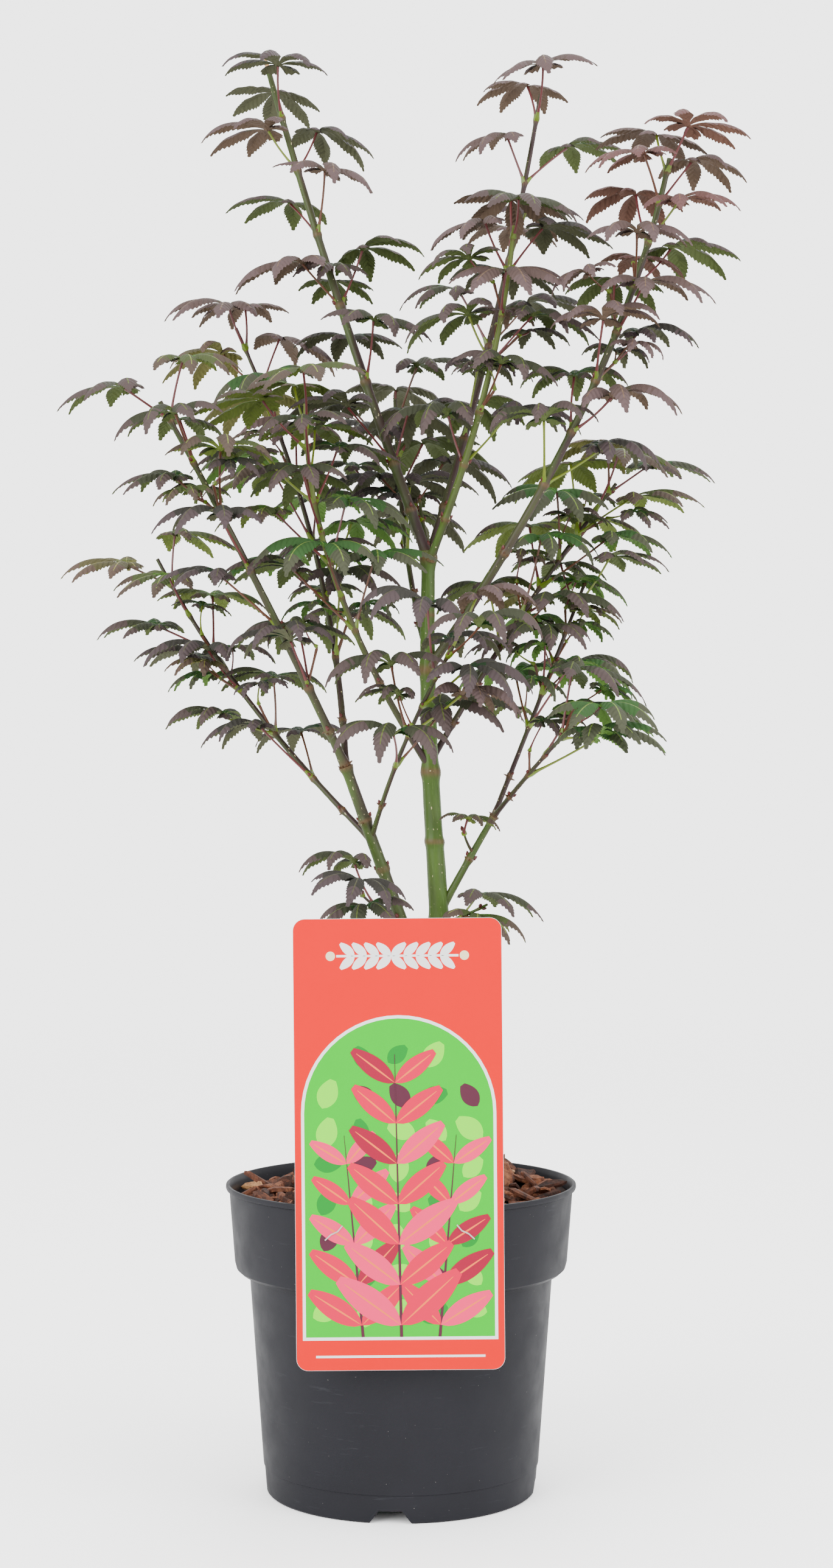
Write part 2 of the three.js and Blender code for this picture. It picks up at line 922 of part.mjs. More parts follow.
const LABEL_BACK = -(POT.rimRadius + GAP + HOOK.thick + GAP);

function labelSolid() {
  const { width, corner, thick } = LABEL;
  const height = LABEL.top - LABEL.bottom;
  const shape = new THREE.Shape();
  const [right, top] = [width / 2, height / 2];
  shape.moveTo(-right + corner, -top);
  shape.lineTo(right - corner, -top);
  shape.absarc(right - corner, -top + corner, corner, rad(-90), 0);
  shape.absarc(right - corner, top - corner, corner, 0, rad(90));
  shape.absarc(-right + corner, top - corner, corner, rad(90), rad(180));
  shape.absarc(-right + corner, -top + corner, corner, rad(180), rad(270));
  const geometry = new THREE.ExtrudeGeometry(shape, {
    depth: thick,
    bevelEnabled: false,
    curveSegments: 5,
  });
  geometry.rotateZ(rad(LABEL.lean)).rotateX(Math.PI / 2);
  geometry.translate(LABEL.centre, LABEL_BACK, (LABEL.top + LABEL.bottom) / 2);
  return solidOf(geometry);
}

function block(x, y, z) {
  const geometry = new THREE.BoxGeometry(x[1] - x[0], y[1] - y[0], z[1] - z[0]);
  geometry.translate((x[0] + x[1]) / 2, (y[0] + y[1]) / 2, (z[0] + z[1]) / 2);
  return solidOf(geometry);
}

// The end of the hook's strap, inside the rim, fatter by extra.
function strapEnd(extra) {
  const half = HOOK.strapWidth / 2;
  const low = POT.height - HOOK.strapDrop;
  const rear = HOOK.thick + GAP - Math.sqrt(insideCollar(low) ** 2 - half ** 2);
  return block(
    [-half - extra, half + extra],
    [rear - HOOK.thick - extra, rear + extra],
    [low - extra, POT.height + GAP + HOOK.thick + extra],
  );
}

// A plate behind the label with a strap over the rim and down inside it
function hookSolid() {
  const front = -(POT.rimRadius + GAP);
  const end = strapEnd(0);
  const rear = end.boundingBox().max[1];
  const half = HOOK.strapWidth / 2;
  const plateHalf = HOOK.plateWidth / 2;
  const bridge = [POT.height + GAP, POT.height + GAP + HOOK.thick];
  return joined([
    block([-plateHalf, plateHalf], [front - HOOK.thick, front], [HOOK.plateBottom, bridge[1]]),
    block([-half, half], [front - HOOK.thick, rear], bridge),
    end,
  ]);
}

// Assembly

const group = new THREE.Group();

function show(name, solid, color, roughness) {
  const material = new THREE.MeshStandardMaterial({ color, roughness, metalness: 0 });
  const mesh = new THREE.Mesh(geometryOf(solid), material);
  mesh.name = name;
  group.add(mesh);
}

const limbs = new Map();
limbs.set("trunk", growLimb(TRUNK, 1, limbs, TRUNK));
for (const [name, leader] of Object.entries(LEADERS)) {
  if (leader.bare > 0) limbs.set(name, growLimb(leader, leader.bare, limbs, BOUGH));
}

const pot = potSolid();
const mulch = mulchSolid().subtract(limbs.get("trunk").grown).subtract(strapEnd(GAP));
const label = labelSolid();
show("pot", pot, COLOURS.pot, 0.55);
show("mulch", mulch, COLOURS.mulch, 0.95);
show("label_card", label, COLOURS.label, 0.35);
show("label_hook", hookSolid(), COLOURS.hook, 0.4);
[pot, mulch, label].forEach((solid) => take(solid, null));

for (const [name, limb] of limbs) {
  take(limb.solid, null);
  const isTrunk = name === "trunk";
  const colour = isTrunk ? COLOURS.trunk : COLOURS.bough;
  show(isTrunk ? name : name + "_bough", limb.solid, colour, 0.6);
}

const leafy = Object.entries(LEADERS).filter(([, leader]) => leader.pairs);
for (const [name, leader] of leafy) take(stemOf(leader, limbs), name);
for (const [name, leader] of leafy) {
  show(name + "_foliage", growMass(name, leader, limbs), COLOURS.foliage, 0.6);
}

export default group;
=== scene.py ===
import math
import random

import bpy
import numpy as np
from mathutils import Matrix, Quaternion, Vector, kdtree, noise


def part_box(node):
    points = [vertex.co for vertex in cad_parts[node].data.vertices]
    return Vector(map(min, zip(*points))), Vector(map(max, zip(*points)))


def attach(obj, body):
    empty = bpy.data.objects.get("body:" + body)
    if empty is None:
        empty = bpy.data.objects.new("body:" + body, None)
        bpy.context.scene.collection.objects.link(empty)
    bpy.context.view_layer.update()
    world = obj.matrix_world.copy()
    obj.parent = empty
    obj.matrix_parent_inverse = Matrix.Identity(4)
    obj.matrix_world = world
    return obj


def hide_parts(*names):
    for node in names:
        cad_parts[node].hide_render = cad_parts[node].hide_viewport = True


# Looks of a young potted japanese maple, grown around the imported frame.
# Sizes are in millimetres and become metres where a mesh is made. The studio's are in metres.

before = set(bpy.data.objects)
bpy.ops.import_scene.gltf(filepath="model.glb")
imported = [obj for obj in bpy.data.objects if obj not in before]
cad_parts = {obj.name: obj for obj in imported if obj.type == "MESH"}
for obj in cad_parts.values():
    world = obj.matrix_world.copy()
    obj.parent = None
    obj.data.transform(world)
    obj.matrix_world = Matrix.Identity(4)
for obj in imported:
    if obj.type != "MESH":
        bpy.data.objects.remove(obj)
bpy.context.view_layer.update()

MM = 0.001
UP = Vector((0, 0, 1))

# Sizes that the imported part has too

POT_OUTSIDE = [  # radius and height, from the foot up to the rim
    (72.0, 0), (72.8, 0.8), (74.0, 14.6), (74.5, 15.0), (74.6, 15.6), (82.0, 116.4), (82.8, 118.0),
    (87.2, 119.2), (89.2, 121.0), (90.1, 124.4), (93.1, 162.6), (94.7, 163.4), (95.0, 164.2),
    (94.9, 165.6), (94.4, 166.0),
]
POT_INSIDE = [  # and down again inside the wall
    (93.2, 166.0), (92.7, 165.4), (91.6, 162.8), (88.7, 125.8), (87.6, 122.4), (81.2, 119.8),
    (80.4, 117.6), (72.6, 9.2),
]
POT_SEGMENTS = 144
DRAIN = dict(
    count=4, first_turn=-94, foot=22, head=12.4, height=6.6, inner_end=30, outer_end=84, below=0.02,
    hole=5, hole_at=46, hole_level=5, hole_depth=30, hole_sides=24,
)
MULCH = dict(
    level=158.8, edge=90.8, bottom=140, rings=30, sectors=96, trunk_at=18, trunk_clear=13,
    wave=3.2, lump=1.6, sunk=1.3, heap=4.5, heap_at=(58, 34), heap_reach=34,
)
LABEL = dict(width=106, bottom=85, top=314.5, front=-97.1, thick=0.7, corner=6, centre=-0.5, lean=0.5)
TRUNK = dict(
    foot=(18, 0, 158.8), via=(19.5, 0, 330), tip=(14.8, 0, 508.6), sway=(3, 0, 0), thick=(13.6, 7),
    flare=5.5, flare_height=9, level=True,
)
TRUNK_KNOTS = (  # height, swelling beside the radius, and width
    (247, 0.12, 9), (290, 0.24, 13), (309, 0.2, 5), (354.5, 0.14, 2.2), (392, 0.22, 4),
    (420, 0.05, 2), (446, 0.2, 4.5), (475, 0.05, 2), (505, 0.42, 4.5),
)
GRAFT = dict(top=300, blend=26, rough=0.55)  # the rougher stock below this height
KNOTS = dict(  # swelling beside the radius, and width
    foot=(0.3, 5.0), scar=(0.3, 1.8), node=(0.36, 2.0), small_node=(0.36, 1.4), fork=(0.4, 3.0),
)
SHORT = 60  # the length up to which a leader's nodes are small
RELIEF = dict(  # of the bark: lumps have a least size, patches turn its tone, and the side towards +x turns more purple and so darker
    lump_least=0.15, lump=0.5, patch=0.45, purple_towards_plus_x=0.35, scar=0.85,
)
LEAF = dict(
    angles=(-126, -84, -42, 0, 42, 84, 126), lengths=(0.34, 0.78, 0.95, 1, 0.95, 0.78, 0.34),
    half_width=0.098, thick=0.45,
)
GROWN = range(1, 6)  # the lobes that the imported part's leaves have

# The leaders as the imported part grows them, and beside that the look of each:
# tone is how far its bark has turned from green to purple at foot and tip, lime how far its green
# is yellow there, knots are its scars, and lower and upper name the tints of its leaves.

LEADERS = dict(
    left_fork=dict(
        foot=(22.5, 0, 247), via=(-3.6, -6, 318.7), tip=(-29.7, -15, 391.6), thick=(7.8, 5.8),
        bare=1, tone=(0.25, 0.5), knots=(0.36, 0.62, 0.8),
    ),
    low_right=dict(
        foot=(20.5, 0, 311), via=(35.5, 0, 338.5), tip=(50.2, 0, 364.2), thick=(4.4, 3.4),
        bare=1, tone=(0.15, 0.35), knots=(0.55,),
    ),
    left_leader=dict(
        foot=(14.6, 0, 505), via=(-34, 20, 646), tip=(-74.3, 35, 779.5), thick=(5.8, 3),
        bare=0.15, last=0.89, pairs=6, turn=20, stalk=37, leaf=46, claw=(0.5, 0.1), seed=259,
        tone=(0.85, 0.45), knots=(0.09,), lower=("dark", "slate"), upper=("dark", "plum", "slate"),
    ),
    centre_leader=dict(
        foot=(15, 1, 505), via=(52.5, 42, 642), tip=(78.4, 60, 770.8), thick=(4.8, 2.2),
        bare=0.21, last=0.94, pairs=5, turn=100, stalk=38, leaf=45, claw=(0.75, 0.1), seed=227,
        tone=(0.9, 1), knots=(0.1,), lower=("slate", "dark"), upper=("plum", "dark"),
    ),
    front_leader=dict(
        foot=(15.5, -3, 503), via=(45, -27, 592), tip=(60.2, -35, 677.8), thick=(4.4, 2.4),
        bare=0.25, last=0.96, pairs=6, turn=10, stalk=33, leaf=49, claw=(0.8, 0.1), seed=395,
        tone=(0.4, 0.05), lime=(0, 0.75), knots=(0.12,), lower=("slate", "dark"), upper=("plum", "dark"),
    ),
    right_leader=dict(
        foot=(14.6, -1, 444), via=(97, -37, 582), tip=(141.5, -45, 711), thick=(5.2, 2.8),
        bare=0.32, last=0.97, pairs=8, turn=40, stalk=36, leaf=46, claw=(0.9, 0.1), seed=344,
        tone=(0.75, 0.6), knots=(0.1, 0.22), lower=("dark", "slate"), upper=("plum", "wine", "plum"),
    ),
    right_side=dict(
        foot=(16, 1, 394), via=(67.5, 47, 477), tip=(122.2, 75, 552.9), thick=(3.6, 2),
        bare=0.35, last=0.96, pairs=7, turn=165, stalk=45, leaf=47, claw=(0.5, 0.1), seed=101,
        tone=(0.9, 0.8), knots=(0.12, 0.25), lower=("fern", "dark"), upper=("moss", "olive", "dark"),
    ),
    middle_left=dict(
        foot=(16.2, -1, 390), via=(-34.5, -22, 490), tip=(-50.6, -32, 584), thick=(3.8, 2.2),
        bare=0.34, last=0.93, pairs=8, turn=0, stalk=41, leaf=47, claw=(0.5, 0.1), seed=170,
        tone=(0.85, 0.1), lime=(0, 0.9), knots=(0.1, 0.23),
        lower=("dark", "fern"), upper=("moss", "dark"),
    ),
    back_leader=dict(
        foot=(14.4, 1, 452), via=(2, 62, 520), tip=(-4, 96, 604), thick=(3.6, 2.2),
        bare=0.4, last=0.9, pairs=5, turn=95, stalk=44, leaf=50, claw=(0.6, 0.4), seed=210,
        tone=(0.7, 0.7), knots=(0.14, 0.28), lower=("dark", "slate"), upper=("dark", "slate"),
    ),
    left_front=dict(
        foot=(-29.7, -15, 391.6), via=(-75, -41, 486.5), tip=(-125.2, -60, 581.4), thick=(4.8, 2.6),
        bare=0.19, last=0.95, pairs=6, turn=85, stalk=38, leaf=46, claw=(0.8, 0.3), seed=380,
        tone=(0.75, 0.6), knots=(0.1,), lower=("dark", "slate"), upper=("dark", "moss"),
    ),
    left_back=dict(
        foot=(-29.7, -15, 391.6), via=(-49.5, 46, 516), tip=(-94.4, 72, 641), thick=(3.8, 1.9),
        bare=0.21, last=0.95, pairs=7, turn=70, stalk=42, leaf=48, claw=(0.6, 0.3), seed=104,
        tone=(0.9, 0.9), knots=(0.1,), lower=("dark", "fern"), upper=("moss", "olive", "plum"),
    ),
    left_side=dict(
        foot=(-16, -9, 352), via=(-86.5, 30, 430.5), tip=(-137.2, 52, 508.1), thick=(3.4, 2),
        bare=0.18, last=0.9, pairs=6, turn=85, stalk=38, leaf=45, claw=(0.7, 0.15), seed=297,
        tone=(0.95, 0.75), knots=(0.1,), lower=("dark", "slate"), upper=("fern", "moss", "olive"),
    ),
    left_inner=dict(
        foot=(-16, -9, 352), via=(2, -47, 403), tip=(27.3, -78, 453.2), thick=(2.8, 1.8),
        bare=0.36, last=0.95, pairs=5, turn=90, stalk=40, leaf=52, claw=(0.9, 0.8), seed=64,
        tone=(0.75, 0.8), knots=(0.18,), lower=("dark", "slate"), upper=("slate", "plum", "dark"),
    ),
    low_right_back=dict(
        foot=(50.2, 0, 364.2), via=(78, 32, 432), tip=(104.9, 55, 499.4), thick=(2.9, 1.8),
        bare=0.33, last=0.96, pairs=6, turn=130, stalk=41, leaf=45, claw=(0.9, 0.2), seed=381,
        tone=(1, 0.9), knots=(0.16,), lower=("fern", "dark"), upper=("fern", "moss", "dark"),
    ),
    low_right_front=dict(
        foot=(50.2, 0, 364.2), via=(72, -32, 392), tip=(96, -65, 419.7), thick=(2.7, 1.8),
        bare=0.38, last=0.9, pairs=4, turn=25, stalk=38, leaf=48, claw=(0.6, 0.4), seed=334,
        tone=(1, 1), knots=(0.2,), lower=("fern", "dark"), upper=("dark", "fern"),
    ),
    base_left=dict(
        foot=(-0.8, -6, 309), via=(-13, -18, 316), tip=(-22, -30, 325), thick=(2, 1.4),
        bare=0, last=0.9, pairs=3, turn=145, stalk=26, leaf=40, claw=(0.9, 0.4), seed=320,
        tone=(0.5, 0.7), knots=(), lower=("slate", "dark"), upper=("dark", "slate"),
    ),
    base_right=dict(
        foot=(20.3, 0, 306), via=(33, -14, 311), tip=(46, -28, 318), thick=(2, 1.4),
        bare=0, last=0.85, pairs=3, turn=35, stalk=18, leaf=41, claw=(0.5, 0.3), seed=41,
        tone=(0.3, 0.5), knots=(), lower=("fern", "moss"), upper=("dark", "fern"),
    ),
    fork_tuft=dict(
        foot=(14.8, 0, 508.6), via=(12, 8, 524), tip=(10, 14, 538), thick=(2.2, 1.6),
        bare=0, last=0.96, pairs=3, turn=110, stalk=40, leaf=52, claw=(0.4, 0.5), seed=240,
        tone=(0.3, 0.6), knots=(), lower=("dark", "slate"), upper=("dark", "fern"),
    ),
    low_spur=dict(
        foot=(39, 0, 345), via=(36, -5, 350), tip=(34, -8, 356), thick=(1.5, 1.2),
        bare=0, last=0.95, pairs=1, turn=105, stalk=14, leaf=30, claw=(0.2, 0.5), seed=138,
        tone=(0.5, 0.6), knots=(), lower=("slate", "moss"), upper=("moss", "slate"),
    ),
)

# The growing rule's numbers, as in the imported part: angles in degrees

RULE = dict(
    quarter=90, first_pair=0.03, crowding=1.15, young_stalk=0.75, young_leaf=0.88, from_stem=42,
    towards_light=0.3, tries=(0, 20, -20, 40, -40, 62, -62), outward_tilt=7,
    rise=(9, 30), turn=(34, 88), fold=(16, 26),
)
SPREAD = dict(turn=14, from_stem=8, stalk=0.16, leaf=0.12, tilt=11, claw=0.12)
STEP = 0.005  # of a limb, to either side of a place where its direction is taken
TIP_MISS = 0.4  # how far a lobe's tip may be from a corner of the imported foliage, mm

# How much more a leaf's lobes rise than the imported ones, in degrees, if flat and if hooked, and
# how much more they turn down beside that

LIFT = (8, 25)
LIFT_TURN = 1.2

# The lobes' finer shape, with lengths as shares of the lobe's own unless said otherwise. A pair is
# the least and the most, unless its comment says what it is.

LOBE = dict(
    stations=30,
    small_stations=18,
    fewest_stations=8,
    end=0.975,  # where the last station is
    belly=(1.08, 1.05),  # the powers of the outline
    width=(1.14, 0.84),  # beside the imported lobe's, if flat and if hooked
    least=0.4,  # half width at the foot, mm
    turn=2,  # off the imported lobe's heading, degrees
    bend=0.07,
    fold=(1.3, 2.1),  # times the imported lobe's
    hook=(0.0, 0.07),
    hook_from=0.55,
    hump=0.03,
    tooth=(0.3, 0.085),  # in mm, and as a share of the half width beside that
    tooth_onward=0.55,  # of the space between two stations
    ripple=(0.28, 21),  # in mm, and how fast it runs
    rib_drop=0.3,  # mm
    tip=0.03,
    base_to=(0.15, 0.31),
    middle_to=(0.42, 0.72),
    rib_to=0.8,
    blur=0.04,
)
RIB = 0.075  # half width of the pale rib, as a share of the lobe's
LANES = (-1, -0.52, -RIB, RIB, 0.52, 1)

# A stalk's and a bud's places along them, and their radii there in mm and as shares of a bud

STALK_SHARES = (0, 0.05, 0.1, 0.17, 0.3, 0.45, 0.6, 0.75, 0.9, 1)
STALK_RADII = (1.7, 1.75, 1.35, 0.9, 0.68, 0.62, 0.6, 0.6, 0.64, 0.8)
SMALL_STALK = 0.72
BUD_SHARES = (0, 0.3, 0.6, 0.85, 1)
BUD_RADII = (0.22, 0.36, 0.3, 0.15, 0.02)

# The finer side twigs that stand in the axils of the pairs

SIDE_TWIG = dict(
    length=(9, 26), leaf=(0.5, 0.74), stalk=(9, 19), clear=5, tries=5, highest=0.7, above_foot=3,
    turn=26, outward=(0.45, 1), upward=0.25, young=0.6, axil=1.5, claw=0.15,
    leaf_turns=dict(heading=16, tilt=12, roll=14), leaf_onward=0.7, leaf_upward=0.35,
)
COMPARED = (0, 0.25, 0.5, 0.75, 1)  # the places along midribs by which leaves keep apart
TWIG_SHARES = (0, 0.1, 0.35, 0.65, 0.92, 1)
TWIG_RADII = (1.15, 0.85, 0.72, 0.66, 0.85, 0.6)
TWIGGY = dict(
    left_leader=0.06, centre_leader=0.12, right_leader=0.3, left_front=0.25, base_left=0,
    middle_left=0.15, left_back=0.15, right_side=0.5, low_right_back=0.55, low_right_front=0.5,
    front_leader=0.5, back_leader=0.5,
)
OFTEN = 0.35  # how often the other leaders have a side twig at a node

# Colours as a painter would mix them, from 0 to 255. Where there are two, a pattern blends them.

TINTS = dict(  # base, middle and end go from the leaf's middle to the lobes' ends
    dark=dict(
        base=(46, 78, 39), middle=(64, 67, 52), end=(84, 72, 70),
        underside=(90, 102, 58), rib=(95, 106, 56),
    ),
    slate=dict(
        base=(43, 64, 43), middle=(62, 60, 56), end=(81, 70, 71),
        underside=(90, 92, 68), rib=(88, 88, 66),
    ),
    moss=dict(
        base=(74, 110, 43), middle=(76, 86, 52), end=(88, 76, 67),
        underside=(112, 128, 58), rib=(134, 146, 68),
    ),
    fern=dict(
        base=(62, 110, 45), middle=(59, 90, 50), end=(76, 79, 62),
        underside=(92, 128, 56), rib=(118, 141, 66),
    ),
    olive=dict(
        base=(92, 100, 51), middle=(90, 86, 58), end=(98, 82, 72),
        underside=(120, 118, 68), rib=(144, 140, 74),
    ),
    plum=dict(
        base=(82, 79, 63), middle=(92, 76, 72), end=(100, 83, 82),
        underside=(108, 90, 75), rib=(120, 98, 80),
    ),
    wine=dict(
        base=(92, 75, 61), middle=(104, 75, 70), end=(112, 82, 80),
        underside=(118, 87, 74), rib=(130, 96, 80),
    ),
)
STALKS = dict(
    rosy=(112, 50, 50), lime=(122, 138, 36), bronze=(104, 62, 40), swelling=(112, 136, 28),
    bud=(98, 36, 32), scale=(96, 66, 40), cut=(206, 160, 104),
)
BARK = dict(
    green=((54, 79, 22), (79, 106, 37)), green_streak=(112, 142, 70),
    purple=((46, 32, 33), (72, 52, 51)), purple_streak=(88, 72, 58),
    lime=((100, 118, 44), (134, 144, 64)), scar=((64, 42, 26), (124, 94, 62)), cork=(186, 178, 134),
)
POT_TINTS = dict(plastic=((33, 33, 37), (43, 43, 48)), scuff=(84, 86, 92), dust=(110, 108, 104))
SOIL = ((18, 10, 7), (54, 30, 20))
CHIP_TINTS = dict(  # with the fineness of the grain, the roughness and the stretch
    russet=((88, 48, 33), (150, 96, 66), 300, 0.75, (1, 1.4, 0.6)),
    umber=((60, 34, 25), (114, 68, 47), 260, 0.78, (1.3, 1, 0.6)),
    dusk=((38, 22, 17), (78, 46, 34), 280, 0.8),
    straw=((140, 92, 54), (200, 150, 100), 380, 0.7, (1, 1, 0.4)),
)
CHIP_WEIGHTS = (5, 4.5, 3, 0.5)
CARD = (240, 240, 238)
HOOK_TINTS = ((222, 218, 210), (236, 233, 227))
WIRE = ((170, 164, 156), (214, 210, 202))
PRINTS = dict(
    coral=(234, 4, 3), meadow=(10, 196, 10), lime=(126, 242, 14), leafgreen=(8, 142, 42),
    burgundy=(86, 42, 57), white=(250, 250, 248), rose=(225, 10, 66), blush=(250, 48, 104),
    crimson=(160, 27, 56), cream=(255, 232, 186), peach=(252, 116, 60),
)

# Loose chips of bark: the steep ones stand on edge

CHIP = dict(
    broad=(0.26, 0.6), thick=(1.8, 4.0), sides=7, flat_share=0.88, flat_tilt=0.3, steep_tilt=0.9,
    roll=0.32, strap_half=13, strap_from=-84,
)

# The print on the label: foot and garland are heights from the card's foot and from its top, and
# shoulder is one from its middle. A sprig is a place across, a lean, pairs and a leaf's length.

INK = 0.015  # the thickness of one layer
PRINT = dict(
    foot=17, shoulder=16, inset=5, border=1.6, bleed=0.14, garland=19, sprig_step=20.5,
    sprigs=((-19, -5, 5, 35), (20, 5, 5, 34), (0.5, -1, 7, 42)),
)

# The studio. The world and the floor have one strength that lights the plant, and one that the
# camera sees behind it.

WORLD = dict(lit=1.55, seen=3.6)
FLOOR = dict(lit=0.92, seen=1.9, radius=40, below=0.0002, melts=(0.5, 3.0))
SOFTBOXES = dict(  # place, size, and power in watts
    softbox_left=((-1.2, -1.5, 1.0), 1.2, 30),
    softbox_right=((1.4, -1.1, 0.9), 1.0, 18),
    softbox_back=((0.2, 1.3, 1.9), 1.2, 12),
)
AIM = Vector((0, 0, 0.4))
CAMERA = dict(place=(0.0084, -1.467, 0.390), tilt=90 - 0.31, sensor=36, lens=62.04)


def mix(a, b, t):
    return a + (b - a) * t


def clamped(share):
    return min(1, max(0, share))


def linear(colour):
    """A colour from 0 to 255 as the shader's own, with alpha."""
    shares = [c / 255 for c in colour]
    return tuple(s / 12.92 if s <= 0.04045 else ((s + 0.055) / 1.055) ** 2.4 for s in shares) + (1,)


# Materials

def feed(tree, socket, value):
    """Gives a socket a fixed value, or links another node's output to it."""
    if isinstance(value, bpy.types.NodeSocket):
        tree.links.new(value, socket)
    else:
        socket.default_value = value


def shader_node(tree, kind, inputs, **settings):
    """A new node with its settings, and with what feeds its inputs."""
    made = tree.nodes.new(kind)
    for key, value in settings.items():
        setattr(made, key, value)
    for socket, value in inputs.items():
        feed(tree, made.inputs[socket], value)
    return made


class Finish:
    """A material and the steps that make its look."""

    def __init__(self, name, roughness, specular=0.5):
        self.material = bpy.data.materials.new(name)
        self.material.use_nodes = True
        self.tree = self.material.node_tree
        self.shader = self.tree.nodes["Principled BSDF"]
        self.set("Roughness", roughness)
        self.set("Specular IOR Level", specular)

    def set(self, socket, value):
        feed(self.tree, self.shader.inputs[socket], value)

    def place(self, stretch=(1, 1, 1)):
        """A place on the piece, from Object coordinates, stretched."""
        source = shader_node(self.tree, "ShaderNodeTexCoord", {}).outputs["Object"]
        return self.stretched(source, stretch)

    def noted(self, attribute):
        """What the piece's corners note under this name."""
        made = shader_node(self.tree, "ShaderNodeAttribute", {}, attribute_name=attribute)
        return made.outputs["Vector"]

    def stretched(self, place, stretch):
        sockets = {"Vector": place, "Scale": stretch}
        return shader_node(self.tree, "ShaderNodeMapping", sockets).outputs["Vector"]

    def parts(self, vector):
        return shader_node(self.tree, "ShaderNodeSeparateXYZ", {"Vector": vector}).outputs

    def noise(self, place, scale, detail=3.0, roughness=0.55):
        sockets = {"Vector": place, "Scale": scale, "Detail": detail, "Roughness": roughness}
        return shader_node(self.tree, "ShaderNodeTexNoise", sockets).outputs["Fac"]

    def ramp(self, value, *stops):
        """Turns a value into a share: the two stops are each a position and a share."""
        made = shader_node(self.tree, "ShaderNodeValToRGB", {"Fac": value})
        for element, (position, share) in zip(made.color_ramp.elements, stops):
            element.position = position
            element.color = (share, share, share, 1)
        return made.outputs["Color"]

    def blend(self, share, *colours):
        """Mixes two colours, each a fixed one from 0 to 255 or another node's output."""
        a, b = (linear(c) if isinstance(c, tuple) else c for c in colours)
        sockets = {"Factor": share, 6: a, 7: b}
        return shader_node(self.tree, "ShaderNodeMix", sockets, data_type="RGBA").outputs[2]

    def reckon(self, operation, *values):
        sockets = dict(enumerate(values))
        return shader_node(self.tree, "ShaderNodeMath", sockets, operation=operation).outputs[0]

    def bump(self, height, strength, depth):
        """A relief that is so many millimetres deep."""
        sockets = {"Height": height, "Strength": strength, "Distance": depth * MM}
        self.set("Normal", shader_node(self.tree, "ShaderNodeBump", sockets).outputs["Normal"])


def pot_plastic():
    """Dark moulded plastic with a soft grain, pale dust and long faint scuffs."""
    pot = Finish("pot_plastic", 0.45, 0.13)
    place = pot.place()
    colour = pot.blend(pot.noise(place, 22), *POT_TINTS["plastic"])
    scuffs = pot.ramp(pot.noise(pot.place((1, 1, 9)), 34, 6, 0.7), (0.62, 0), (0.82, 0.3))
    colour = pot.blend(scuffs, colour, POT_TINTS["scuff"])
    dust = pot.ramp(pot.noise(place, 760, 1), (0.785, 0), (0.81, 0.6))
    pot.set("Base Color", pot.blend(dust, colour, POT_TINTS["dust"]))
    pot.set("Roughness", pot.ramp(pot.noise(place, 60), (0.3, 0.36), (0.7, 0.5)))
    pot.bump(pot.noise(place, 1500, 2), strength=0.25, depth=0.12)
    return pot.material


def grained(name, dark, pale, scale, roughness, stretch=(1, 1, 1)):
    """Bark and soil: two colours broken up by a fine grain that is also a relief."""
    bark = Finish(name, roughness, 0.3)
    grain = bark.noise(bark.place(stretch), scale, 6, 0.65)
    bark.set("Base Color", bark.blend(bark.ramp(grain, (0.4, 0), (0.62, 1)), dark, pale))
    bark.bump(grain, strength=0.6, depth=0.6)
    return bark.material


def cloudy(name, colours, scale, detail=3.0, roughness=0.4, specular=0.5, grain=0.0):
    """Two near colours in soft clouds, with a fine relief of this strength."""
    smooth = Finish(name, roughness, specular)
    place = smooth.place()
    smooth.set("Base Color", smooth.blend(smooth.noise(place, scale, detail), *colours))
    if grain:
        smooth.bump(smooth.noise(place, 900), strength=grain, depth=0.05)
    return smooth.material


def printed(name, colour):
    """Glossy card: an even print with the faintest cloud in it."""
    paler = tuple(min(255, c + 6) for c in colour)
    return cloudy(name, (colour, paler), 30, roughness=0.42, specular=0.1, grain=0.05)


def stalk_skin(name, colour):
    darker = tuple(c * 0.82 for c in colour)
    return cloudy(name, (darker, colour), 260, detail=2, roughness=0.38)


def stem_bark():
    """Smooth young bark: green with pale streaks, turning purple, and brown where leaves fell."""
    bark = Finish("stem_bark", 0.45, 0.3)
    straight = bark.noted("straight")
    streaks = bark.noise(bark.stretched(straight, (1, 1, 0.07)), 1.5, 4, 0.6)
    clouds = bark.noise(bark.stretched(straight, (1, 1, 0.35)), 0.16)
    spots = bark.noise(bark.stretched(straight, (1, 1, 0.5)), 1.15, 0)
    pale = bark.ramp(streaks, (0.6, 0), (0.78, 0.55))
    green = bark.blend(pale, bark.blend(clouds, *BARK["green"]), BARK["green_streak"])
    purple = bark.blend(pale, bark.blend(clouds, *BARK["purple"]), BARK["purple_streak"])
    looks = bark.parts(bark.noted("looks"))
    colour = bark.blend(looks["Z"], green, bark.blend(clouds, *BARK["lime"]))
    colour = bark.blend(looks["X"], colour, purple)
    colour = bark.blend(looks["Y"], colour, bark.blend(streaks, *BARK["scar"]))
    colour = bark.blend(bark.ramp(spots, (0.8, 0), (0.815, 0.9)), colour, BARK["cork"])
    bark.set("Base Color", colour)
    bark.bump(streaks, strength=0.2, depth=0.2)
    return bark.material


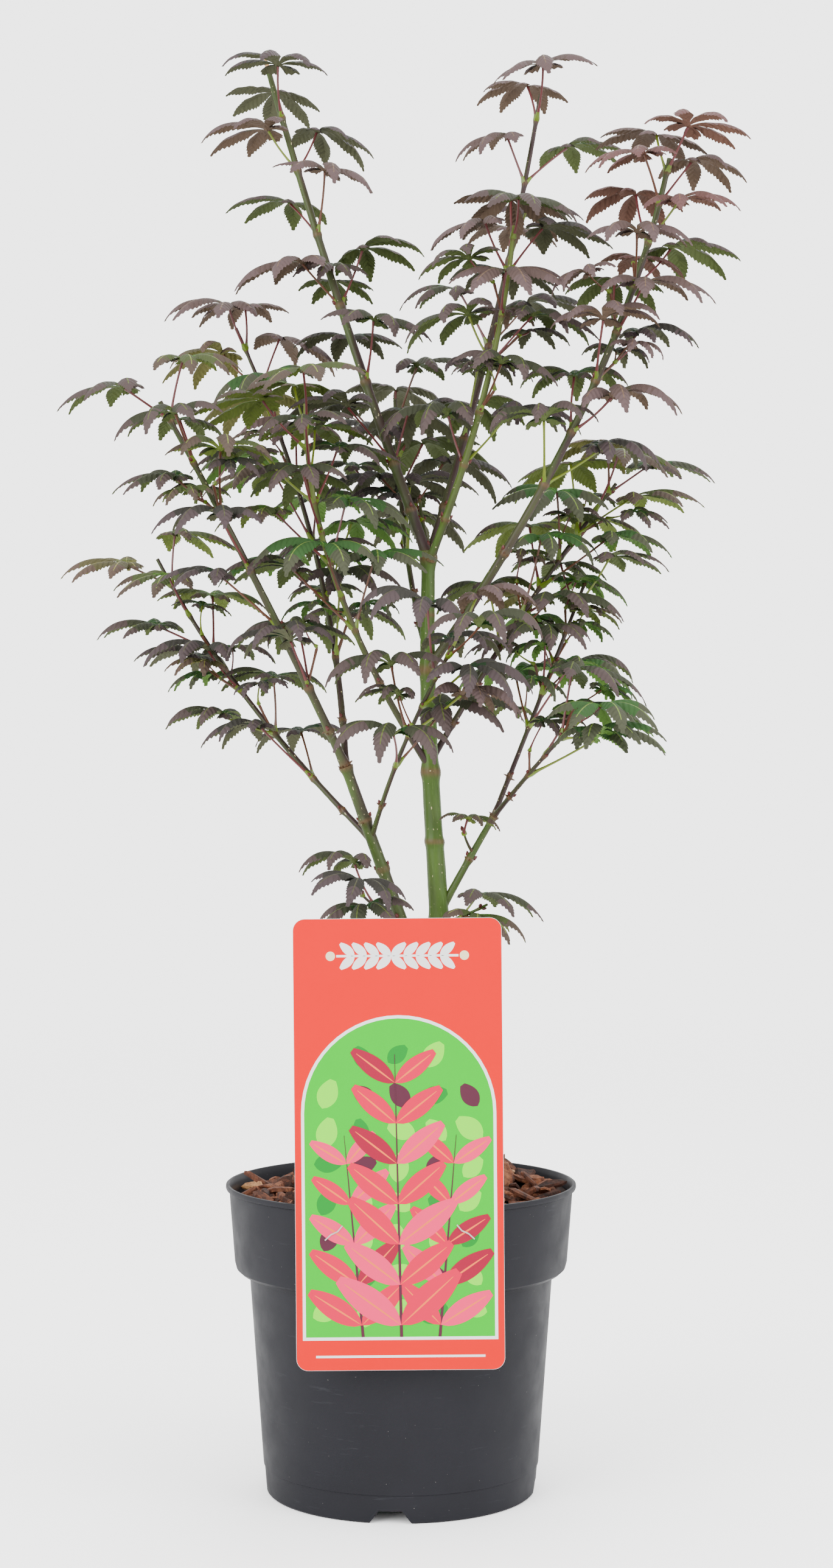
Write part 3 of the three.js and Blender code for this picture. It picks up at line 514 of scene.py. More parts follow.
def leaf_skin(tint, part):
    """A leaf's surface: one plain colour, with the slanting side veins as a relief."""
    leaf = Finish("leaf_" + tint + "_" + part, 0.45 if part == "rib" else 0.6, 0.1)
    leaf.set("Base Color", linear(TINTS[tint][part]))
    place = leaf.parts(leaf.noted("vein"))
    slant = leaf.reckon("MULTIPLY_ADD", leaf.reckon("ABSOLUTE", place["X"]), -0.9, place["Y"])
    veins = leaf.reckon("SINE", leaf.reckon("MULTIPLY", slant, 1.7))
    leaf.bump(veins, strength=0.5, depth=0.35)
    return leaf.material


SKINS = {}


def skin(tone):
    """A tone's material, made when it is first used. A leaf's tone is a tint and a part."""
    if tone not in SKINS:
        if tone == "bark":
            SKINS[tone] = stem_bark()
        elif tone in STALKS:
            SKINS[tone] = stalk_skin("stalk_" + tone, STALKS[tone])
        else:
            SKINS[tone] = leaf_skin(*tone)
    return SKINS[tone]


# Meshes

class Heap:
    """Corners, faces and materials gathered for one joined piece."""

    def __init__(self):
        self.corners = []
        self.faces = []
        self.tones = []
        self.palette = []
        self.notes = {}

    def add(self, corners, faces, tones, **notes):
        """Adds a body. tones is one tone for all its faces, or a list with one for each."""
        start = len(self.corners)
        self.corners.extend(corners)
        if not isinstance(tones, list):
            tones = [tones] * len(faces)
        for face, tone in zip(faces, tones):
            self.faces.append([start + i for i in face])
            if tone not in self.palette:
                self.palette.append(tone)
            self.tones.append(self.palette.index(tone))
        for name, values in notes.items():
            self.notes.setdefault(name, []).extend(values)

    def piece(self, name, materials, smooth=True, sharp=40):
        """The heap as one object. Bodies that came last and without notes get zeros for them."""
        mesh = bpy.data.meshes.new(name)
        corners = np.array(self.corners, float) * MM
        mesh.from_pydata(corners.tolist(), [], self.faces)
        for tone in self.palette:
            mesh.materials.append(materials(tone))
        mesh.polygons.foreach_set("material_index", self.tones)
        for note, values in self.notes.items():
            values.extend([(0, 0, 0)] * (len(corners) - len(values)))
            layer = mesh.attributes.new(note, "FLOAT_VECTOR", "POINT")
            layer.data.foreach_set("vector", np.array(values, np.float32).ravel())
        if smooth:
            mesh.shade_smooth()
            mesh.set_sharp_from_angle(angle=math.radians(sharp))
        mesh.update()
        piece = bpy.data.objects.new(name, mesh)
        bpy.context.scene.collection.objects.link(piece)
        return piece


def seat(piece, slot, *nodes):
    """The piece stands for these nodes and rides on the only body. The slot is not used."""
    if nodes:
        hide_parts(*nodes)
    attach(piece, "root")
    return piece


def tube_faces(rings, sides):
    """Quads between rings of equal count, with both ends closed."""
    faces = []
    for k in range(rings - 1):
        for j in range(sides):
            n = (j + 1) % sides
            faces.append([k * sides + j, k * sides + n, (k + 1) * sides + n, (k + 1) * sides + j])
    faces.append(list(range(sides))[::-1])
    faces.append([(rings - 1) * sides + j for j in range(sides)])
    return faces


def around(side, front, turned):
    """The direction that is turned so far from side towards front."""
    return side * math.cos(turned) + front * math.sin(turned)


def add_rod(heap, places, radii, tones, sides=6):
    """A thin rod through places, with a radius at each and a tone for each stretch."""
    corners = []
    onward = (places[-1] - places[0]).normalized()
    side = onward.orthogonal().normalized()
    for k, place in enumerate(places):
        before, after = places[max(0, k - 1)], places[min(len(places) - 1, k + 1)]
        onward = (after - before).normalized()
        side = (side - onward * side.dot(onward)).normalized()
        front = onward.cross(side)
        for j in range(sides):
            corners.append(place + around(side, front, 2 * math.pi * j / sides) * radii[k])
    each = [tones[k] for k in range(len(places) - 1) for _ in range(sides)]
    heap.add(corners, tube_faces(len(places), sides), each + [tones[0], tones[-1]])


# The growing rule, written again

def place_on(limb, t):
    foot, via, tip = (Vector(limb[k]) for k in ("foot", "via", "tip"))
    place = foot.lerp(tip, t) + (via - (foot + tip) / 2) * (4 * t * (1 - t))
    if "sway" in limb:
        place += Vector(limb["sway"]) * math.sin(2 * math.pi * t)
    return place


def direction_on(limb, t):
    return (place_on(limb, clamped(t + STEP)) - place_on(limb, clamped(t - STEP))).normalized()


def across_on(limb, t):
    along = UP if limb.get("level") else direction_on(limb, t)
    side = Vector((0, 1, 0)).cross(along).normalized()
    return side, along.cross(side)


def radius_on(limb, t):
    radius = mix(*limb["thick"], t) / 2
    if "flare" in limb:
        height = place_on(limb, t).z - limb["foot"][2]
        radius += limb["flare"] * math.exp(-height / limb["flare_height"])
    return radius


def length_of(limb):
    steps = 24
    places = [place_on(limb, i / steps) for i in range(steps + 1)]
    return sum((b - a).length for a, b in zip(places, places[1:]))


def stream(seed):
    """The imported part's own stream of random numbers."""
    modulus = 2147483647
    state = seed * 7919 * 16807 % modulus
    while True:
        state = state * 16807 % modulus
        yield state / modulus


def pair_places(leader):
    first = leader["bare"] + RULE["first_pair"]
    count = leader["pairs"]
    shares = [i / (count - 1) if count > 1 else 1 for i in range(count)]
    return [mix(first, leader["last"], 1 - (1 - s) ** RULE["crowding"]) for s in shares]


def leafy_share(leader, t):
    """How far t is along the leader's leafy part."""
    return (t - leader["bare"]) / (1 - leader["bare"])


def draws_of(numbers):
    def either(spread):
        return (2 * next(numbers) - 1) * SPREAD[spread]
    return dict(
        turn=either("turn"), from_stem=either("from_stem"), stalk=1 + either("stalk"),
        leaf=1 + either("leaf"), tilt=either("tilt"), roll=either("tilt"), claw=either("claw"),
        heading=either("turn"),
    )


def leaf_at(leader, t, angle, draws):
    share = leafy_share(leader, t)
    along = direction_on(leader, t)
    outward = around(*across_on(leader, t), math.radians(angle + draws["turn"]))
    lean = math.radians(RULE["from_stem"] + draws["from_stem"])
    line = along * math.cos(lean) + outward * math.sin(lean) + UP * RULE["towards_light"]
    line.normalize()
    stalk = leader["stalk"] * draws["stalk"] * mix(1, RULE["young_stalk"], share)
    size = leader["leaf"] * draws["leaf"] * mix(1, RULE["young_leaf"], share)
    claw = mix(*leader["claw"], share) + draws["claw"]
    return leaf_on(place_on(leader, t), line, stalk, size, claw, draws)


def leaf_on(node, line, stalk, size, claw, draws):
    """A leaf at the end of a stalk from node along line."""
    centre = node + line * stalk
    heading = Vector((line.x, line.y, 0)).normalized()
    heading.rotate(Quaternion(UP, math.radians(draws["heading"])))
    sideways = UP.cross(heading)
    heading.rotate(Quaternion(sideways, math.radians(RULE["outward_tilt"] + draws["tilt"])))
    normal = heading.cross(sideways)
    normal.rotate(Quaternion(heading, math.radians(draws["roll"])))
    return dict(
        node=node, centre=centre, heading=heading, normal=normal, size=size, claw=clamped(claw), lift=0,
    )


def arching(leaf):
    """How a leaf's lobes rise and turn down, in radians, and how steeply they fold."""
    rise = math.radians(mix(*RULE["rise"], leaf["claw"])) + leaf["lift"]
    turn = math.radians(mix(*RULE["turn"], leaf["claw"]) + RULE["rise"][0]) + LIFT_TURN * leaf["lift"]
    fold = math.tan(math.radians(mix(*RULE["fold"], leaf["claw"])))
    return rise, turn, fold


def ridge(leaf, angle, length, f):
    """Places on a lobe's midrib at shares f, with the directions out, across and down there."""
    rise, turn, _ = arching(leaf)
    heading, normal = np.array(leaf["heading"]), np.array(leaf["normal"])
    side = np.cross(normal, heading)
    out = heading * math.cos(angle) + side * math.sin(angle)
    across = side * math.cos(angle) - heading * math.sin(angle)
    slope = (rise - turn * f)[:, None]
    places = (
        np.array(leaf["centre"])
        + out * (length / turn * (math.sin(rise) - np.sin(slope)))
        + normal * (length / turn * (np.cos(slope) - math.cos(rise)))
    )
    onward = out * np.cos(slope) + normal * np.sin(slope)
    down = out * np.sin(slope) - normal * np.cos(slope)
    return places, onward, across, down


def lobes_of(leaf, which=range(7)):
    return [(math.radians(LEAF["angles"][i]), leaf["size"] * LEAF["lengths"][i]) for i in which]


def points_on(leaf, shares):
    """Places on the midribs of the leaf's grown lobes at these shares of their lengths."""
    f = np.array(shares)
    return np.concatenate([ridge(leaf, a, length, f)[0] for a, length in lobes_of(leaf, GROWN)])


def lifted(leaf, share):
    """The leaf as the scene shows it, and its share along the leader's leafy part."""
    return dict(leaf, share=share, lift=math.radians(mix(*LIFT, leaf["claw"])))


def grown_leaves(name, leader):
    """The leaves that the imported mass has, found by the tips of their lobes."""
    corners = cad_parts[name + "_foliage"].data.vertices
    tree = kdtree.KDTree(len(corners))
    for i, corner in enumerate(corners):
        tree.insert(corner.co / MM, i)
    tree.balance()
    numbers = stream(leader["seed"])
    leaves = []
    for pair, t in enumerate(pair_places(leader)):
        for half in (0, 180):
            draws = draws_of(numbers)
            for more in RULE["tries"]:
                leaf = leaf_at(leader, t, leader["turn"] + pair * RULE["quarter"] + half + more, draws)
                if max(tree.find(tip)[2] for tip in points_on(leaf, [1.0])) < TIP_MISS:
                    leaves.append(lifted(leaf, leafy_share(leader, t)))
                    break
    return leaves


# Leaves

def lobe_profile(f, leaf):
    """Half width of a lobe at shares f: waisted at its foot and fullest near the middle."""
    onward, fullness = LOBE["belly"]
    belly = np.sin(np.pi * np.clip(f, 0, 1) ** onward) ** fullness
    curled = mix(*LOBE["width"], leaf["claw"])
    return LEAF["half_width"] * leaf["size"] * curled * belly + LOBE["least"]


def add_lobe(heap, leaf, angle, length, stations, tint, chance):
    """One toothed lobe, a closed body: six lanes on top and one rib below."""
    f = np.linspace(0, LOBE["end"], stations)
    bend = chance.uniform(-LOBE["bend"], LOBE["bend"]) * length
    places, onward, across, down = ridge(leaf, angle, length, f)
    fold = arching(leaf)[2] * chance.uniform(*LOBE["fold"])
    width = lobe_profile(f, leaf)
    hooked = np.clip((f - LOBE["hook_from"]) / (1 - LOBE["hook_from"]), 0, 1) ** 2
    hook = chance.uniform(*LOBE["hook"]) * length * hooked
    hump = chance.uniform(-LOBE["hump"], LOBE["hump"]) * length * np.sin(np.pi * f)
    places = places + across * (bend * (f ** 2 - f ** 3) * 3)[:, None]
    places = places + down * (hook - hump)[:, None]
    toothed = (np.arange(stations) % 2) * np.clip(f * 5 - 0.8, 0, 1)
    tooth = toothed * (LOBE["tooth"][0] + LOBE["tooth"][1] * width)
    tooth_onward = toothed * (length / stations * LOBE["tooth_onward"])
    height, pace = LOBE["ripple"]
    ripple = height * np.sin(f * pace + chance.uniform(0, 6)) * (width / width.max())
    corners = []
    veins = []
    for k in range(stations):
        for lane in LANES:
            edge = abs(lane) == 1
            reach = lane * width[k] + (np.sign(lane) * tooth[k] if edge else 0)
            drop = fold * abs(reach) ** 1.5 / width.max() ** 0.5
            drop += LOBE["rib_drop"] if abs(lane) == RIB else ripple[k] * abs(lane) * np.sign(lane)
            corner = places[k] + across * reach + down[k] * drop
            if edge:
                corner = corner + onward[k] * tooth_onward[k]
            corners.append(corner)
            veins.append((reach, f[k] * length, 0))
        corners.append(places[k] + down[k] * (LOBE["rib_drop"] + LEAF["thick"]))
        veins.append((0, f[k] * length, 0))
    corners.append(places[-1] + onward[-1] * length * LOBE["tip"] + down[-1] * LOBE["rib_drop"])
    veins.append((0, length, 0))
    faces, tones = lobe_faces(f, tint, chance)
    heap.add(corners, faces, tones, vein=veins)


def lobe_faces(f, tint, chance):
    """The faces of a lobe with stations at shares f, and the tone of each."""
    stations = len(f)
    lanes = len(LANES) + 1
    tip = stations * lanes
    base_to = chance.uniform(*LOBE["base_to"])
    middle_to = chance.uniform(*LOBE["middle_to"])
    faces = [list(range(lanes))]
    tones = [(tint, "underside")]
    for k in range(stations):
        reached = f[k] + chance.uniform(-LOBE["blur"], LOBE["blur"])
        part = "base" if reached < base_to else "middle" if reached < middle_to else "end"
        for j in range(lanes):
            n = (j + 1) % lanes
            if k < stations - 1:
                faces.append([k * lanes + j, (k + 1) * lanes + j, (k + 1) * lanes + n, k * lanes + n])
            else:
                faces.append([k * lanes + j, tip, k * lanes + n])
            if j > lanes - 3:
                tones.append((tint, "underside"))
            else:
                tones.append((tint, "rib" if j == 2 and f[k] < LOBE["rib_to"] else part))
    return faces, tones


def add_leaf(heap, leaf, stations, tint, chance):
    for i, (angle, length) in enumerate(lobes_of(leaf)):
        count = stations if i in GROWN else max(LOBE["fewest_stations"], stations // 3)
        turned = angle + math.radians(chance.uniform(-LOBE["turn"], LOBE["turn"]))
        add_lobe(heap, leaf, turned, length, count, tint, chance)


def add_stalk(heap, leaf, colour, chance, thick=1.0):
    """A leaf stalk: swollen and pale at its foot, thin and slightly bowed above."""
    foot, neck = leaf["node"], leaf["centre"] - leaf["normal"] * 0.5
    line = neck - foot
    bow = Vector((chance.uniform(-1, 1), chance.uniform(-1, 1), chance.uniform(-1.4, 0.2)))
    places = [foot + line * s + bow * (4 * s * (1 - s)) for s in STALK_SHARES]
    radii = [r * thick for r in STALK_RADII]
    add_rod(heap, places, radii, ["swelling"] * 3 + [colour] * 7)


def add_bud(heap, place, towards, size):
    """A pointed bud of two scales."""
    places = [place + towards * (size * s) for s in BUD_SHARES]
    radii = [size * r for r in BUD_RADII]
    add_rod(heap, places, radii, ["bud"] * 5, sides=7)


def side_twig(leader, t, angle, chance, crowd, room):
    """A twig from the axil at t, and those of its two small leaves that find room."""
    share = leafy_share(leader, t)
    along = direction_on(leader, t)
    turned = math.radians(angle + chance.uniform(-SIDE_TWIG["turn"], SIDE_TWIG["turn"]))
    outward = around(*across_on(leader, t), turned)
    line = along + outward * chance.uniform(*SIDE_TWIG["outward"]) + UP * SIDE_TWIG["upward"]
    line.normalize()
    foot = place_on(leader, t) + along * SIDE_TWIG["axil"]
    tip = foot + line * (chance.uniform(*SIDE_TWIG["length"]) * mix(1, SIDE_TWIG["young"], share))
    pace = line.orthogonal().normalized()
    pace.rotate(Quaternion(line, chance.uniform(0, math.pi)))
    found = []
    for way in (1, -1):
        draws = {kind: chance.uniform(-most, most) for kind, most in SIDE_TWIG["leaf_turns"].items()}
        out = line * SIDE_TWIG["leaf_onward"] + pace * way + UP * SIDE_TWIG["leaf_upward"]
        out.normalize()
        size = leader["leaf"] * chance.uniform(*SIDE_TWIG["leaf"])
        claw = mix(*leader["claw"], share) + chance.uniform(-SIDE_TWIG["claw"], SIDE_TWIG["claw"])
        leaf = leaf_on(tip, out, chance.uniform(*SIDE_TWIG["stalk"]), size, claw, draws)
        points = points_on(leaf, COMPARED)
        inside = (points > room[0]).all() and (points < room[1]).all()
        if inside and all(apart(points, other) for other in crowd):
            found.append(lifted(leaf, share))
            crowd.append(points)
    return (foot, tip), found


def side_leaves(name, leader, chance, crowd):
    """The side twigs of a leader and the small leaves on them, inside the box of its mass."""
    low, high = (np.array(corner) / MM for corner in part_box(name + "_foliage"))
    low[2] += SIDE_TWIG["above_foot"]
    leaves = []
    twigs = []
    for pair, t in enumerate(pair_places(leader)):
        if leafy_share(leader, t) > SIDE_TWIG["highest"]:
            continue
        for more in range(4):
            if chance.random() > TWIGGY.get(name, OFTEN):
                continue
            angle = leader["turn"] + (pair + more) * RULE["quarter"]
            for _ in range(SIDE_TWIG["tries"]):
                twig, found = side_twig(leader, t, angle, chance, crowd, (low, high))
                if found:
                    leaves.extend(found)
                    twigs.append(twig)
                    break
    return leaves, twigs


def apart(points, other):
    """Whether two leaves' points keep clear of each other: their boxes do, or each two points."""
    clear = SIDE_TWIG["clear"]
    if (points.min(0) - other.max(0) > clear).any() or (other.min(0) - points.max(0) > clear).any():
        return True
    gaps = points[:, None, :] - other[None, :, :]
    return (gaps ** 2).sum(2).min() > clear ** 2


# Wood

def bark_tube(heap, limb, step, sides, knots, tone, lime, roughness, salt):
    """A limb's bark as a fine tube, swollen at its knots. knots are (share, swelling, width in mm)."""
    length = length_of(limb)
    rings = max(4, int(length / step))
    corners, straight, looks = [], [], []
    for k in range(rings + 1):
        t = k / rings
        place = place_on(limb, t)
        side, front = across_on(limb, t)
        radius = radius_on(limb, t)
        swelling = scar = 0
        for at, size, width in knots:
            near = math.exp(-(((t - at) * length / width) ** 2))
            swelling += size * near
            scar = max(scar, near ** 3)
        for j in range(sides):
            out = around(side, front, 2 * math.pi * j / sides)
            grain = noise.noise(Vector((out.x * 2.2, out.y * 2.2, t * length * 0.03 + salt)))
            lump = noise.noise(place * 0.35 + out * 1.6 + Vector((salt, 0, 0)))
            lumpy = (RELIEF["lump_least"] + swelling) * RELIEF["lump"] * lump
            r = radius * (1 + swelling) + roughness * grain + lumpy
            corners.append(place + out * r)
            straight.append((out.x * radius + salt * 7, out.y * radius, t * length))
            patch = noise.noise(Vector((out.x, out.y, t * length * 0.05 + salt * 3)))
            # On the purplish leaders the side towards +x turns more purple, and so darker.
            purple_towards_plus_x = RELIEF["purple_towards_plus_x"] * out.x if tone[0] > 0.1 else 0
            turning = mix(*tone, t) + RELIEF["patch"] * patch + purple_towards_plus_x
            looks.append((clamped(turning), scar * RELIEF["scar"], mix(*lime, t)))
    heap.add(corners, tube_faces(rings + 1, sides), "bark", straight=straight, looks=looks)


def trunk_piece():
    """The trunk: rough stock below the graft, its union's bulge, and green bark with knots above."""
    foot = TRUNK["foot"][2]
    height = TRUNK["tip"][2] - foot
    knots = [((z - foot) / height, size, width) for z, size, width in TRUNK_KNOTS]
    heap = Heap()
    bark_tube(
        heap, TRUNK, step=1.3, sides=44, knots=knots, tone=(0.05, 0), lime=(0, 0), roughness=0.35,
        salt=3.0)
    for i, (x, y, z) in enumerate(heap.corners):
        stock = clamped((GRAFT["top"] - z) / GRAFT["blend"])
        if stock > 0:
            rough = noise.noise(Vector((x * 0.5, y * 0.5, z * 0.11)))
            rough += 0.5 * noise.noise(Vector((x * 1.3, y * 1.3, z * 0.4)))
            axis = place_on(TRUNK, clamped((z - foot) / height))
            out = Vector((x - axis.x, y - axis.y, 0)).normalized()
            heap.corners[i] = Vector((x, y, z)) + out * (GRAFT["rough"] * rough * stock)
            tone, scar, _ = heap.notes["looks"][i]
            heap.notes["looks"][i] = (tone, max(scar, stock * (0.72 + 0.2 * rough)), 0)
    return seat(heap.piece("trunk_with_bark", skin), "trunk_bark", "trunk")


def add_buds(heap, leader, t, turn, chance):
    """Two buds on opposite sides of a knot or a node."""
    along = direction_on(leader, t)
    for half in (0, 180):
        out = around(*across_on(leader, t), math.radians(turn + half))
        foot = place_on(leader, t) + out * radius_on(leader, t) * 0.9 + along * 1.2
        add_bud(heap, foot, (along + out * 0.6).normalized(), chance.uniform(2.0, 3.4))


def add_scales(heap, limb, t, chance, count):
    """Dry bud scales that stand in a ring round a knot."""
    place, along, radius = place_on(limb, t), direction_on(limb, t), radius_on(limb, t)
    side = along.orthogonal().normalized()
    for i in range(count):
        out = side.copy()
        out.rotate(Quaternion(along, 2 * math.pi * (i + chance.uniform(-0.3, 0.3)) / count))
        foot = place + out * (radius * 0.92) + along * chance.uniform(-1, 1)
        line = (out * chance.uniform(0.5, 1) + along * chance.uniform(-0.2, 1)).normalized()
        size = chance.uniform(1.4, 2.6)
        places = [foot, foot + line * size * 0.5, foot + line * size]
        add_rod(heap, places, [0.75, 0.6, 0.12], ["scale"] * 3, sides=4)


def add_cut(heap, limb):
    """The pale stub where a leader's tip was cut off."""
    along = direction_on(limb, 1)
    places = [place_on(limb, 1) + along * s for s in (-1, 2.6, 5.4)]
    add_rod(heap, places, [1.3, 1.25, 0.7], ["cut"] * 3, sides=9)


def wood_piece(name, leader, chance, salt):
    """A leader's bare bough and leafy stem in one, with its knots, buds and dry scales."""
    heap = Heap()
    nodes = pair_places(leader) if "pairs" in leader else []
    node = KNOTS["node"] if length_of(leader) > SHORT else KNOTS["small_node"]
    knots = [(0, *KNOTS["foot"])]
    knots += [(t, *KNOTS["scar"]) for t in leader["knots"]]
    knots += [(t, *node) for t in nodes]
    if leader["bare"] == 1:
        knots.append((1, *KNOTS["fork"]))
    bark_tube(
        heap, leader, step=1.6, sides=14, knots=knots, tone=leader["tone"],
        lime=leader.get("lime", (0, 0)), roughness=0.1, salt=salt)
    orders = [(int(t * 40), t) for t in leader["knots"]] + list(enumerate(nodes))
    for order, t in orders:
        add_buds(heap, leader, t, leader.get("turn", 0) + order * RULE["quarter"], chance)
    for t in leader["knots"]:
        add_scales(heap, leader, t, chance, 5)
    if leader["bare"] == 1:
        add_scales(heap, leader, 1, chance, 9)
    if name == "left_leader":
        add_cut(heap, leader)
    replaced = [name + "_bough"] if leader["bare"] > 0 else []
    return seat(heap.piece(name + "_wood", skin), "bough_bark", *replaced)


# Foliage

def tint_of(leader, share, chance):
    upper = chance.random() < share * 1.15 - 0.05
    return chance.choice(leader["upper"] if upper else leader["lower"])


def foliage_pieces():
    """For each leader one piece of leaves and one of stalks and side twigs."""
    leafy = {name: leader for name, leader in LEADERS.items() if "pairs" in leader}
    grown = {name: grown_leaves(name, leader) for name, leader in leafy.items()}
    crowd = [points_on(leaf, COMPARED) for leaves in grown.values() for leaf in leaves]
    for name, leader in leafy.items():
        chance = random.Random(leader["seed"] * 31 + 7)
        small, twigs = side_leaves(name, leader, chance, crowd)
        blades = Heap()
        stalks = Heap()
        for leaf in grown[name]:
            add_leaf(blades, leaf, LOBE["stations"], tint_of(leader, leaf["share"], chance), chance)
            red = 0.35 + 0.4 * leaf["share"]
            colour = "rosy" if chance.random() < red else chance.choice(("lime", "bronze"))
            add_stalk(stalks, leaf, colour, chance)
        for leaf in small:
            tint = tint_of(leader, leaf["share"], chance)
            add_leaf(blades, leaf, LOBE["small_stations"], tint, chance)
            add_stalk(stalks, leaf, chance.choice(("rosy", "lime", "bronze")), chance, SMALL_STALK)
        for foot, tip in twigs:
            places = [foot.lerp(tip, s) - UP * (2 * s * (1 - s)) for s in TWIG_SHARES]
            add_rod(stalks, places, TWIG_RADII, ["bronze"] * 6, sides=7)
        seat(blades.piece(name + "_leaves", skin), "foliage", name + "_foliage")
        seat(stalks.piece(name + "_stalks", skin), "foliage", name + "_foliage")
        print("leaves", name, len(grown[name]), "small", len(small), "faces", len(blades.faces))


# Pot

def deselect():
    bpy.ops.object.select_all(action="DESELECT")


def use_modifier(piece, kind, **settings):
    """Adds one modifier and applies it."""
    modifier = piece.modifiers.new(kind.title(), kind)
    for key, value in settings.items():
        setattr(modifier, key, value)
    bpy.context.view_layer.objects.active = piece
    bpy.ops.object.modifier_apply(modifier=modifier.name)


def finished(piece, material):
    piece.data.materials.clear()
    piece.data.materials.append(material)


def drawn_up(name, profile, segments):
    """A round shell: a disc drawn up, out and in along the profile, as on a lathe."""
    deselect()
    radius, height = profile[0]
    bpy.ops.mesh.primitive_circle_add(
        vertices=segments, radius=radius * MM, fill_type="NGON", location=(0, 0, height * MM))
    piece = bpy.context.object
    piece.name = name
    bpy.ops.object.transform_apply(location=True)
    bpy.ops.object.mode_set(mode="EDIT")
    bpy.ops.mesh.select_all(action="SELECT")
    for next_radius, next_height in profile[1:]:
        rise = (next_height - height) * MM
        bpy.ops.mesh.extrude_region_move(TRANSFORM_OT_translate={"value": (0, 0, rise)})
        share = next_radius / radius
        bpy.ops.transform.resize(
            value=(share, share, 1), center_override=(0, 0, next_height * MM))
        radius, height = next_radius, next_height
    bpy.ops.mesh.select_all(action="SELECT")
    bpy.ops.mesh.normals_make_consistent(inside=False)
    bpy.ops.object.mode_set(mode="OBJECT")
    return piece


def drain_cutter(turn):
    """A block that widens to its foot, for one channel under the pot."""
    deselect()
    bpy.ops.mesh.primitive_cube_add(size=1)
    cutter = bpy.context.object
    reach = DRAIN["outer_end"] - DRAIN["inner_end"]
    for corner in cutter.data.vertices:
        top = corner.co.z > 0
        half = (DRAIN["head"] if top else DRAIN["foot"]) / 2
        corner.co.y = math.copysign(half, corner.co.y)
        corner.co.x = DRAIN["inner_end"] + (corner.co.x + 0.5) * reach
        corner.co.z = DRAIN["height"] if top else -DRAIN["below"]
        corner.co *= MM
    cutter.rotation_euler.z = math.radians(turn)
    bpy.ops.object.transform_apply(rotation=True)
    return cutter


def drain_hole(turn):
    """A rod through the floor, for the hole in one channel."""
    deselect()
    at = Vector((DRAIN["hole_at"], 0, DRAIN["hole_level"])) * MM
    at.rotate(Quaternion(UP, math.radians(turn)))
    bpy.ops.mesh.primitive_cylinder_add(
        vertices=DRAIN["hole_sides"], radius=DRAIN["hole"] * MM, depth=DRAIN["hole_depth"] * MM,
        location=at)
    return bpy.context.object


def cut_away(piece, cutter):
    use_modifier(piece, "BOOLEAN", operation="DIFFERENCE", object=cutter, solver="EXACT")
    bpy.data.objects.remove(cutter)


def pot_piece():
    pot = drawn_up("pot_shell", POT_OUTSIDE + POT_INSIDE, POT_SEGMENTS)
    for i in range(DRAIN["count"]):
        turn = DRAIN["first_turn"] + i * 360 / DRAIN["count"]
        cut_away(pot, drain_cutter(turn))
        cut_away(pot, drain_hole(turn))
    finished(pot, pot_plastic())
    pot.data.shade_smooth()
    pot.data.set_sharp_from_angle(angle=math.radians(32))
    return seat(pot, "pot_plastic", "pot")


# Mulch

def mulch_surface(x, y):
    """Height of the bark bed at a place."""
    wave = noise.noise(Vector((x * 0.035, y * 0.035, 4.2)))
    lump = noise.noise(Vector((x * 0.16, y * 0.16, 9.1)))
    rough = MULCH["level"] + MULCH["wave"] * wave + MULCH["lump"] * lump - MULCH["sunk"]
    away = math.hypot(x - MULCH["heap_at"][0], y - MULCH["heap_at"][1]) / MULCH["heap_reach"]
    return rough + MULCH["heap"] * math.exp(-away ** 2)


def mulch_bed():
    """The soil under the chips: a rough disc with a skirt down inside the pot, closed below."""
    heap = Heap()
    rings, sectors = MULCH["rings"], MULCH["sectors"]
    corners = [(0, 0, mulch_surface(0, 0))]
    for i in range(1, rings + 1):
        radius = MULCH["edge"] * i / rings
        for j in range(sectors):
            turned = 2 * math.pi * j / sectors
            x, y = radius * math.cos(turned), radius * math.sin(turned)
            corners.append((x, y, mulch_surface(x, y)))
    rim = corners[-sectors:]
    corners += [(x * 0.985, y * 0.985, MULCH["bottom"]) for x, y, _ in rim]
    faces = [[0, 1 + j, 1 + (j + 1) % sectors] for j in range(sectors)]
    for i in range(rings):
        inner, outer = 1 + i * sectors, 1 + (i + 1) * sectors
        for j in range(sectors):
            n = (j + 1) % sectors
            faces.append([inner + j, outer + j, outer + n, inner + n])
    faces.append([1 + rings * sectors + j for j in range(sectors)][::-1])
    heap.add(corners, faces, "soil")
    soil = grained("damp_bark_dust", *SOIL, 420, 0.9)
    return seat(heap.piece("mulch_bed", lambda tone: soil), "bark_mulch", "mulch")


def chip_body(chance, length, width, thick):
    """A torn slab of bark: uneven rings of corners below, in the middle and above."""
    ring = []
    for j in range(CHIP["sides"]):
        turned = 2 * math.pi * (j + chance.uniform(-0.28, 0.28)) / CHIP["sides"]
        reach = chance.uniform(0.78, 1.12)
        ring.append((math.cos(turned) * length / 2 * reach, math.sin(turned) * width / 2 * reach))
    curl = chance.uniform(-0.12, 0.2) * width
    corners = []
    for level, shrink in ((-1, 1.0), (0.1, 1.06), (1, 0.82)):
        for x, y in ring:
            z = level * thick / 2 * chance.uniform(0.75, 1.2) + curl * (2 * y / width) ** 2
            corners.append(Vector((x * shrink, y * shrink, z)))
    return corners


